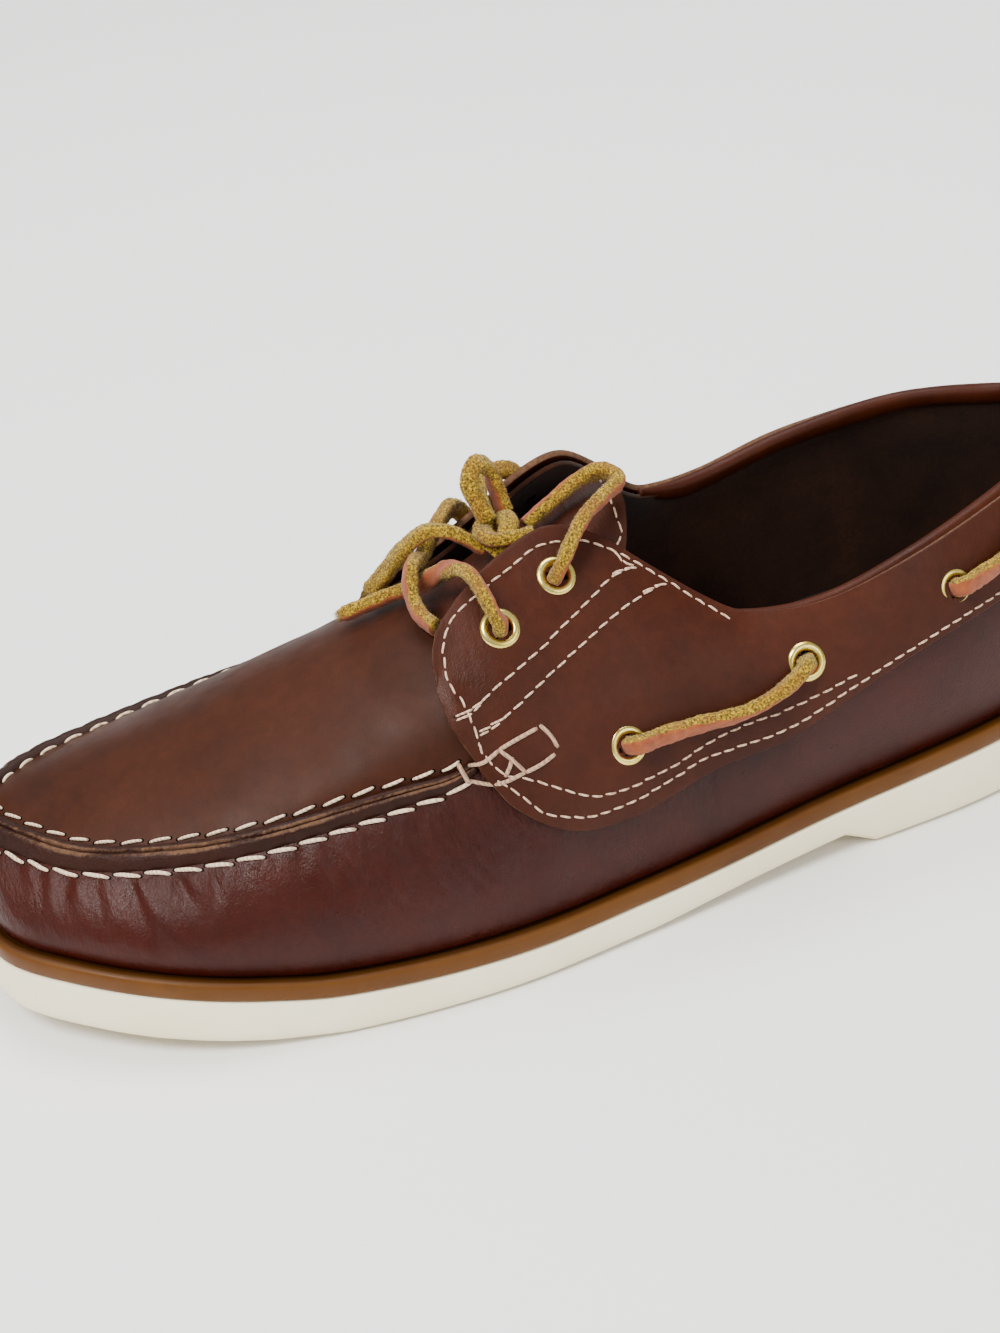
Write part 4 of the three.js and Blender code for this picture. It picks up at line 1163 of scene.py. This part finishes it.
def quarter_columns():
    """Places along one side, closer together round the eyestay's front."""
    front = -37.8 + 4.8 * (1 - np.cos(np.linspace(0, math.pi / 2, 16)))
    return np.r_[front, np.arange(-32, 150, 1.15), 150]


def row_shares(y, low, top, count):
    """Shares of the wall's height at one place, from the lower cut edge to the upper one."""
    even_steps = np.linspace(0, 1, count)
    steps = 0.6 * even_steps + 0.4 * (0.5 - 0.5 * np.cos(math.pi * even_steps))
    bottom, head = interpolate(low, y)[1], interpolate(top, y)[1]
    return bottom + (head - bottom) * steps


WALL_STARTS = {"lateral": -33.0, "medial": -31.0}


def quarter_face(side, y, shares):
    """The wall behind the seam, carried straight on past the place where it starts."""
    start = WALL_STARTS[side]
    if y >= start:
        return quarter_point(side, y, shares)
    first, second = quarter_point(side, start, shares), quarter_point(side, start + 2, shares)
    return first + unit_rows(first - second) * (start - y)


def quarter_rows(places, low, top, count):
    """Rows of the wall from the lateral side's front round the heel to the medial side's."""
    lateral, medial = (
        np.array([quarter_face(side, y, row_shares(y, low, top, count)) for y in places])
        for side in SIDES
    )
    return np.concatenate([lateral, medial[-2::-1]])


# how many rows at each end of the quarters take their directions from the row after them
FRONT_TURN = 6


def steady_normals(grid):
    """The quarters' normals. Where the front runs to a point they come from a little further back."""
    normals = grid_normals(grid)
    front = quarter_places[: FRONT_TURN + 1]
    shares = [row_shares(y, QUARTER_LOW, QUARTER_TOP, grid.shape[1]) for y in front]
    for k in range(FRONT_TURN):
        for place, source in ((k, FRONT_TURN), (-1 - k, -1 - FRONT_TURN)):
            columns = [np.interp(shares[k], shares[-1], c) for c in normals[source].T]
            normals[place] = np.column_stack(columns)
    return normals / np.maximum(np.linalg.norm(normals, axis=2, keepdims=True), 1e-9)


def spread(amount, rounds):
    """Each number's mean with its neighbours', repeated."""
    for _ in range(rounds):
        near = np.pad(amount, 1, mode="edge")
        around = near[:-2, 1:-1] + near[2:, 1:-1] + near[1:-1, :-2] + near[1:-1, 2:]
        amount = (around + 2 * amount) / 6
    return amount


def lift_over(grid, base, clearance, reach=9.0):
    """Moves a grid outwards, smoothly, where the base would show through it."""
    normals = steady_normals(grid)
    needed = np.zeros(grid.shape[:2])
    for i, j in np.ndindex(needed.shape):
        way = Vector(normals[i, j])
        hit = base.tree.ray_cast(Vector(grid[i, j]) + way * reach, -way, reach + 4)
        if hit[0] is not None:
            needed[i, j] = max(0.0, reach - hit[3] + clearance)
    amount = needed
    for _ in range(14):
        amount = np.maximum(needed * 0.98, spread(amount, 1))
    return grid + normals * spread(amount, 5)[..., None]


quarter_places = quarter_columns()
QUARTERS = lift_over(quarter_rows(quarter_places, QUARTER_LOW, QUARTER_TOP, 62), BASE, 0.15)
for _ in range(6):
    inner = (QUARTERS[:-2, 1:-1] + QUARTERS[2:, 1:-1] + QUARTERS[1:-1, :-2] + QUARTERS[1:-1, 2:]) / 4
    QUARTERS[1:-1, 1:-1] += 0.5 * (inner - QUARTERS[1:-1, 1:-1])
back_seam = np.exp(-((QUARTERS[..., 0] - 1.8) / 0.8) ** 2) * (QUARTERS[..., 1] > 130)
soft = 0.35 * np.sin(QUARTERS[..., 1] / 9 + QUARTERS[..., 2] / 13) * smoothstep(20, 60, QUARTERS[..., 1])
quarter_relief = soft - 0.5 * back_seam
QUARTER_NORMALS = steady_normals(QUARTERS)
quarters = sweep_shell(
    QUARTERS, QUARTER_THICKNESS + quarter_relief, 0.12, QUARTER_LEATHER, "quarters", "upper",
    skip=[(*seat, 3.0) for seat in SEATS.values()], normals=QUARTER_NORMALS, wrinkle=0.25,
)

lining_places = np.r_[np.arange(-33, 150, 2.4), 150]
LINING_LOW, LINING_TOP = [(-60, 0.02), (150, 0.02)], [(-60, 1.0), (150, 1.0)]
# the lining's near-black colour is partly painted shade of the shoe's inside
sweep_shell(
    quarter_rows(lining_places, LINING_LOW, LINING_TOP, 40), -0.9, -WALL, LINING_PAINTED_SHADE, "lining", "upper",
    skip=[(*seat, 2.9) for name, seat in SEATS.items() if "throat" in name])


def top_line(side, start, stop):
    return np.array([quarter_point(side, y, [1.0])[0] for y in np.linspace(start, stop, 150)])


OPENING_MIDDLE = 88.0


def collar():
    """The padded roll along the top line, from one end of the throat round the heel to the other."""
    path = even(np.concatenate([top_line("lateral", 33, 150), top_line("medial", 150, 35)[1:]]), 420)
    inward = np.array((0, OPENING_MIDDLE, 0)) - path
    inward[:, 2] = 0
    tangents = unit_rows(np.gradient(path, axis=0))
    inward = unit_rows(inward - tangents * np.sum(inward * tangents, axis=1, keepdims=True))
    up = np.cross(tangents, inward)
    up *= np.sign(up[:, 2:3])
    along = lengths_of(path)
    ends = np.minimum(smoothstep(-1, 16, along), smoothstep(along[-1] + 1, along[-1] - 16, along))
    bag = Bag()
    rings = []
    for p, i, u, e, s in zip(path, inward, up, ends, along):
        wide = 0.85 + 1.15 * e
        high = 0.8 + 1.0 * e + 0.08 * math.sin(s / 7)
        centre = p + i * (0.35 + 0.45 * e) - u * (high - 0.75)
        ring = []
        for a in np.linspace(0, 2 * math.pi, 20, endpoint=False):
            c, t = math.cos(a), math.sin(a)
            long_foot = 1.9 if t < 0 else 1
            ring.append(centre + i * c * wide + u * t * high * long_foot)
        rings.append(ring)
    bag.rings(rings)
    return bag.piece("collar_roll", COLLAR_LEATHER, "upper")


collar_roll = collar()

# ---------------------------------------------------------------- tongue


TONGUE_CORNER = 13


def tongue_grid():
    """The tongue's face, its rear corners rounded off."""
    rows = []
    last = TONGUE[-1][0]
    corner_places = last - TONGUE_CORNER * np.cos(np.linspace(0, math.pi / 2, 22))
    for y in np.r_[np.arange(-50, 8, 1.2), corner_places]:
        _, x, z, half, _ = interpolate(TONGUE, y)
        corner = max(0.0, (y - (last - TONGUE_CORNER)) / TONGUE_CORNER)
        half = min(half, 18.5) * (1 - corner**3.2) ** (1 / 3.2) if corner < 1 else 1.0
        half = max(half, 1.5)
        wide, drop = interpolate(TONGUE, min(y, 17))[3:]
        share = np.linspace(1, -1, 54) * half / wide
        wave = 0.5 * np.sin(y / 6.0 + 3 * share)
        heights = z - drop * np.abs(share) ** 2.2 + wave * 0.3
        rows.append(np.column_stack([x + share * wide, np.full(54, y) - 1.2 * share**2, heights]))
    return np.array(rows)


TONGUE_GRID = tongue_grid()
sweep_shell(
    TONGUE_GRID, 0.0, -1.8, QUARTER_LEATHER, "tongue_flap", "tongue", ["tongue"], wrinkle=0.5)

# ---------------------------------------------------------------- stitching

QUARTER_FACE = Surface.of_grid(
    QUARTERS + QUARTER_NORMALS * (QUARTER_THICKNESS + quarter_relief)[..., None])
TONGUE_FACE = Surface.of_grid(TONGUE_GRID)


THREAD_RADIUS = 0.27


def sewn_line(bag, holes, path, face, seed, pitch=3.4, share=0.74, sway=0.12):
    """Machine stitches along a path, lying on a face."""
    noise = random.Random(seed)
    radius = THREAD_RADIUS
    along = lengths_of(path)
    total = along[-1]
    count = max(2, int(total / pitch))
    for i in range(count):
        middle = (i + 0.5) * total / count
        span = total / count * share
        centre, ups = [], []
        for f in (-0.5, -0.4, -0.15, 0.15, 0.4, 0.5):
            p = np.array([np.interp(middle + f * span, along, c) for c in path.T])
            place, normal = face.settle(p)
            lift = math.cos(math.pi * f) ** 0.6 if abs(f) < 0.5 else 0
            centre.append(place + normal * radius * (1.15 * lift - 0.6))
            ups.append(normal)
        aside = np.cross(unit(centre[-1] - centre[0]), ups[2])
        shift = aside * noise.uniform(-sway, sway)
        slant = aside * noise.uniform(0.3, 1.0) * sway
        centre = [c + shift + slant * f for c, f in zip(centre, (-1, -0.8, -0.3, 0.3, 0.8, 1))]
        bag.tube(centre, [radius * s for s in (0.7, 0.9, 1, 1, 0.9, 0.7)], ups, sides=7)
        gap = span * (1 - share) / share / 2
        for end in (0, -1):
            way = unit(centre[end] - centre[2])
            spot(holes, centre[end] + way * gap * 0.5 + ups[end] * radius * 0.62, ups[end], 0.34)


def wall_path(side, rows, count):
    """A smooth line on the wall, under the quarter's face, through (soleY, share) pairs."""
    points = [quarter_face(side, y, [s])[0] for y, s in rows]
    return curve_through(points, count)


BORDER_ROW = [
    (33.8, 0.935), (28.7, 0.948), (19.8, 0.965), (12.3, 0.965), (5.3, 0.972), (-5.1, 0.982), (-12.5, 0.985),
    (-20, 0.998), (-24, 1.014), (-27, 1.025), (-29.8, 1.024), (-32.3, 1.0), (-33.6, 0.945), (-34, 0.89),
    (-33.8, 0.845), (-33.3, 0.765), (-32.8, 0.69), (-31.5, 0.605), (-29.0, 0.525), (-24.4, 0.464),
    (-18.9, 0.387), (-12.8, 0.32), (-5.6, 0.289), (2.1, 0.289), (10.3, 0.311), (18.6, 0.36),
    (26.5, 0.43), (39, 0.52), (60, 0.597),
]
OUTER_ROW = [
    (-31.2, 0.53), (-28.6, 0.475), (-25.7, 0.40), (-23.2, 0.345), (-17.1, 0.285), (-13.7, 0.262),
    (-6.3, 0.246), (1.6, 0.250), (9.9, 0.277), (18.1, 0.318), (25.9, 0.358), (38.4, 0.43), (58.1, 0.541),
    (70, 0.582), (85, 0.615), (102, 0.632), (125, 0.65), (149, 0.668),
]
DIAGONALS = [
    [
        (-35.8, 0.785), (-32, 0.765), (-27, 0.755), (-22.9, 0.75), (-13.5, 0.752), (1.0, 0.80),
        (9, 0.87), (15.6, 0.945),
    ],
    [
        (-32.5, 0.69), (-28, 0.668), (-20.5, 0.664), (-9.2, 0.686), (4.0, 0.735), (14, 0.83),
        (21.4, 0.945),
    ],
]


def quarter_stitches(side):
    bag, holes = Bag(), Bag()
    shift = 0 if side == "lateral" else 2.0
    for k, row in enumerate([BORDER_ROW, OUTER_ROW, *DIAGONALS]):
        moved = [(y + shift * smoothstep(-34, 0, y) * smoothstep(60, 30, y), s) for y, s in row]
        path = wall_path(side, moved, 400)
        sewn_line(bag, holes, path, QUARTER_FACE, seed=k + 11)
    for k, row in enumerate(DIAGONALS):
        path = wall_path(side, [(y + 0.4 + shift * smoothstep(-34, 0, y), s) for y, s in row], 400)
        for low, high in ((0, 0.13), (0.88, 1.0)):
            part = path[int(low * 400) : int(high * 400)]
            sewn_line(bag, holes, part + (0, 0, 0.35), QUARTER_FACE, k + 31, sway=0.45, share=0.9)
    tick = wall_path(side, [(11.5 + shift, 0.962), (13.5 + shift, 0.93), (15.5 + shift, 0.948)], 40)
    sewn_line(bag, holes, tick, QUARTER_FACE, sway=0.3, seed=51, share=0.9)
    bag.piece(f"quarter_stitches_{side}", FINE_THREAD, None)
    holes.piece(f"quarter_holes_{side}", NEEDLE_HOLE_SHADE, None)


for side in SIDES:
    quarter_stitches(side)

# thick thread tying down the seam's end: by soleY and share
BOX = [
    [(-36.4, 0.64), (-33.6, 0.615), (-28.8, 0.604)],
    [(-28.6, 0.604), (-24, 0.588), (-19.4, 0.575)],
    [(-18.6, 0.576), (-17.4, 0.535), (-16.6, 0.492)],
    [(-17.6, 0.478), (-20.5, 0.476), (-24.4, 0.484)],
    [(-24.8, 0.486), (-32, 0.52), (-37.2, 0.59)],
    [(-28.6, 0.602), (-26.6, 0.548), (-24.6, 0.488)],
    [(-29.2, 0.52), (-27.6, 0.535), (-26.4, 0.552)],
]


# the thread over the seam's end, across the seam and above it
TIE_ARCH = [
    (-1.9, -0.2), (-1.6, 0.9), (-0.9, 1.7), (0, 2.1), (1.0, 2.1), (2.0, 1.7), (2.8, 0.9), (3.2, -0.2)]


def seam_end_box(side):
    bag = Bag()
    face = Surface(quarters, vamp, plug, seam_ridge)
    for row in BOX:
        path = wall_path(side, row, 15)
        placed, ups = [], []
        for f, p in zip(np.linspace(-0.5, 0.5, 15), path):
            way = np.array((math.copysign(1, p[0]) * 0.9, 0, 0.45))
            place, normal = face.outermost(p, way, 9)
            lift = max(0.0, math.cos(math.pi * f)) ** 0.4
            placed.append(place + normal * (0.55 * lift - 0.3))
            ups.append(normal)
        for _ in range(3):
            placed[1:-1] = [(a + 2 * b + c) / 4 for a, b, c in zip(placed, placed[1:], placed[2:])]
        bag.tube(placed, 0.5, ups)
    total = SEAM_ALONG[-1]
    middle = 1.6 if side == "lateral" else total - 1.6
    point, _, down, up = seam_at(middle)
    arch = [point + down * w + up * h for w, h in TIE_ARCH]
    bag.tube(curve_through(arch, 24), 0.55, [up] * 24)
    bag.piece(f"box_stitch_{side}", BOX_THREAD, None)


for side in SIDES:
    seam_end_box(side)


def tongue_stitches():
    bag, holes = Bag(), Bag()
    edge = [TONGUE_GRID[10:-5, 4], TONGUE_GRID[-5, 4:-4], TONGUE_GRID[::-1, -5][5:-10]]
    path = even(np.concatenate(edge), 400)
    sewn_line(bag, holes, path + (0, 0, 0.2), TONGUE_FACE, pitch=3.6, seed=71)
    bag.piece("tongue_stitches", FINE_THREAD, None)
    holes.piece("tongue_holes", NEEDLE_HOLE_SHADE, None)


tongue_stitches()


def heel_tacks():
    """Two short upright rows of stitching that close the collar's channel by the heel."""
    bag, holes = Bag(), Bag()
    for side in SIDES:
        for y in (137.5, 141.5):
            path = wall_path(side, [(y, 0.965), (y, 0.93), (y, 0.89), (y, 0.85)], 60)
            sewn_line(bag, holes, path, QUARTER_FACE, pitch=2.8, seed=int(y))
    bag.piece("heel_tacks", FINE_THREAD, None)
    holes.piece("heel_tack_holes", NEEDLE_HOLE_SHADE, None)


heel_tacks()

# ---------------------------------------------------------------- lace along the sides


def bar_route(side, first, last, sag):
    ends = [EYELETS[f"eyelet_{side}_{name}"] for name in (first, last)]
    seats = [SEATS[f"eyelet_{side}_{name}"] for name in (first, last)]
    clear = 1.2 + LACE_DIAMETER / 2 + 0.9
    between = []
    for f in (0.16, 0.38, 0.62, 0.84):
        y = ends[0][1] + (ends[1][1] - ends[0][1]) * f
        share = ends[0][2] + (ends[1][2] - ends[0][2]) * f - sag * math.sin(math.pi * f)
        centre, axis = eyelet_seat(side, y, share)
        between.append(centre + axis * clear)

    def leave(seat, towards):
        centre, axis = seat
        turn_off = centre + axis * (clear + 0.2)
        return [centre - axis * 1.5, centre + axis * 1.2, turn_off + (towards - turn_off) * 0.16]

    return [*leave(seats[0], between[0]), *between, *leave(seats[1], between[-1])[::-1]]


for side in SIDES:
    for part, first, last, sag in (("front", "side_1", "side_2", 0.1), ("rear", "side_3", "side_4", 0.02)):
        twist = (-105, -200) if side == "lateral" else (105, 200)
        lace_piece(
            f"rawhide_bar_{side}_{part}", [bar_route(side, first, last, sag)], [f"lace_bar_{side}_{part}"],
            twist=twist)
lace_piece("rawhide_crossing", [CROSSING_ROUTE], ["lace_crossing"], twist=(-190, -190, -190, -175, -195))

# ---------------------------------------------------------------- insole


def footbed():
    inset = LEDGE + WALL + 1
    lines = {side: Line(side, inset) for side in SIDES}
    rows = []
    for y in -142.3 * np.cos(np.linspace(0, math.pi, 130)):
        ends = [lines[side].at(lines[side].share_at(y))[0] for side in SIDES]
        share = np.linspace(0, 1, 40)[:, None]
        flat = ends[0] + (ends[1] - ends[0]) * share
        dish = 1.4 * np.sin(math.pi * share[:, 0]) ** 0.7 if abs(y) < 141 else 0 * share[:, 0]
        heights = np.array([band_top_z(v) + GAP + 3.2 for v in flat[:, 1]]) - 0.6 * dish
        rows.append(np.column_stack([flat, heights]))
    return np.array(rows)


# the sock's near-black colour is painted shade of the shoe's inside
sweep_shell(footbed(), 0.0, -2.4, SOCK_PAINTED_SHADE, "sock", "insole", ["insole"])

# ---------------------------------------------------------------- welt and outsole


def ring_sweep(name, profile, material, slot, replaces):
    """Sweeps (inset, height over the joint, darkening) rows round the sole's outline."""
    points, outward = (
        np.concatenate([HALVES["lateral"][k], HALVES["medial"][k][-2:0:-1]]) for k in (0, 1))
    vertices = [
        (*(p - o * inset), joint_z(p[1]) + rise)
        for p, o in zip(points, outward)
        for inset, rise, _ in profile
    ]
    weights = [raw for _, _, raw in profile] * len(points)
    faces = grid_faces(len(points), len(profile), wrap=True, close=True)
    return add_mesh(name, vertices, faces, material, slot, replaces, edge=weights)


# the third column mixes the welt towards its near-black mix colour across its top and in the groove under
# the upper's foot
WELT_PROFILE = [
    (0.75, 0.3, 0), (0.42, 0.45, 0), (0.2, 0.9, 0), (0.12, 1.8, 0), (0.12, 3.1, 0), (0.22, 4.0, 0),
    (0.5, 4.62, 0), (0.95, 4.95, 0.35), (1.6, 5.02, 0.8), (2.6, 4.95, 0.9), (3.2, 4.6, 1),
    (3.7, 4.1, 1), (5.5, 4.0, 1), (9, 4.9, 1), (9, 0.3, 1),
]
ring_sweep("welt", WELT_PROFILE, WELT_RUBBER, "midsole", ["midsole"])

SIPE_PITCH, SIPE_DEPTH = 4.2, 1.1


def outsole():
    """The rubber unit: a soft-edged wall and a razor-cut wavy tread."""
    side_profile = [(1.9, 0.0), (1.1, 0.18), (0.5, 0.7), (0.15, 1.6), (0.0, 2.8)]
    stations = -149.9 * np.cos(np.linspace(0, math.pi, 90))
    stations = np.unique(np.round(np.r_[stations, np.arange(-146, 147, 0.52)], 3))
    stations = stations[np.r_[True, np.diff(stations) > 0.2]]
    lines = [{side: Line(side, inset) for side in SIDES} for inset, _ in side_profile]
    sections = []
    for y in stations:
        tread, joint = tread_z(y), joint_z(y)
        half = {}
        for side in SIDES:
            column = []
            for (inset, rise), line in zip(side_profile, lines):
                limit = line[side].points[0 if y < 0 else -1][1]
                at_y = y * abs(limit) / HALF_LENGTH
                place = line[side].at(line[side].share_at(at_y))[0]
                column.append((*place, tread + rise * min(1, (joint - tread) / 6)))
            foot = np.array(column[-1])
            for f in (0.35, 0.6, 0.8, 0.93):
                column.append((foot[0], foot[1], foot[2] + (joint - foot[2]) * f))
            column.append((foot[0] * 0.9965, foot[1] * 0.9985, joint))
            half[side] = column
        a, b = np.array(half["lateral"][0]), np.array(half["medial"][0])
        bottom = []
        for f in np.linspace(0, 1, 36)[1:-1]:
            p = a + (b - a) * f
            wave = 1.6 * math.sin(p[0] / 2.6)
            phase = ((p[1] + wave) / SIPE_PITCH) % 1.0
            cut = 1 - float(smoothstep(0.07, 0.15, abs(phase - 0.5)))
            edge = float(smoothstep(0, 0.07, min(f, 1 - f)))
            flat = 1.0 if tread < 4 or y < 0 else 0.4
            p[2] += SIPE_DEPTH * cut * edge * flat
            bottom.append(p)
        sections.append([*half["lateral"], *half["medial"][::-1], *bottom[::-1]])
    bag = Bag()
    bag.rings(sections)
    return bag


outsole_bag = outsole()
heights = np.array(outsole_bag.points)[:, 2]
lows = np.array([tread_z(p[1]) for p in outsole_bag.points])
outsole_bag.weights = list(
    0.55 * np.exp(-((heights - lows) / 1.4))
    + 0.25 * smoothstep(95, 140, np.array(outsole_bag.points)[:, 1]) * np.exp(-((heights - lows) / 5)))
outsole_bag.piece("sole_unit", OUTSOLE_RUBBER, "outsole", ["outsole"])

# ---------------------------------------------------------------- floor and light


LIGHTS_AIM = (0, 0, 0.04)


def studio():
    bpy.ops.mesh.primitive_plane_add(size=8, location=(0, 0, -0.0004))
    floor = bpy.context.object
    floor.name = "floor"
    n = Nodes("floor")
    tone = n.ramp(n.noise(2, 3), [(0.3, (0.93, 0.93, 0.93)), (0.7, (0.96, 0.96, 0.96))])
    floor.data.materials.append(n.finish(tone, 0.9, n.bump(n.noise(30), 0.02, 0.001)))
    world = bpy.data.worlds.new("studio")
    bpy.context.scene.world = world
    world.use_nodes = True
    background = world.node_tree.nodes["Background"].inputs
    background[0].default_value, background[1].default_value = (1.0, 0.98, 0.95, 1), 0.62
    for name, place, size, power, colour in (
        ("key", (0.5, -0.9, 1.5), 0.8, 44, (1.0, 0.97, 0.93)),
        ("top", (-0.5, 0.2, 1.6), 1.1, 30, (0.96, 0.98, 1.0)),
        ("fill", (1.5, 0.7, 0.9), 1.2, 12, (1.0, 0.98, 0.96)),
    ):
        data = bpy.data.lights.new(name, "AREA")
        data.shape = "DISK"
        data.size, data.energy, data.color = size, power, colour
        light = bpy.data.objects.new(name, data)
        bpy.context.scene.collection.objects.link(light)
        light.location = place
        aim = Vector(LIGHTS_AIM) - Vector(place)
        light.rotation_euler = aim.to_track_quat("-Z", "Y").to_euler()


studio()
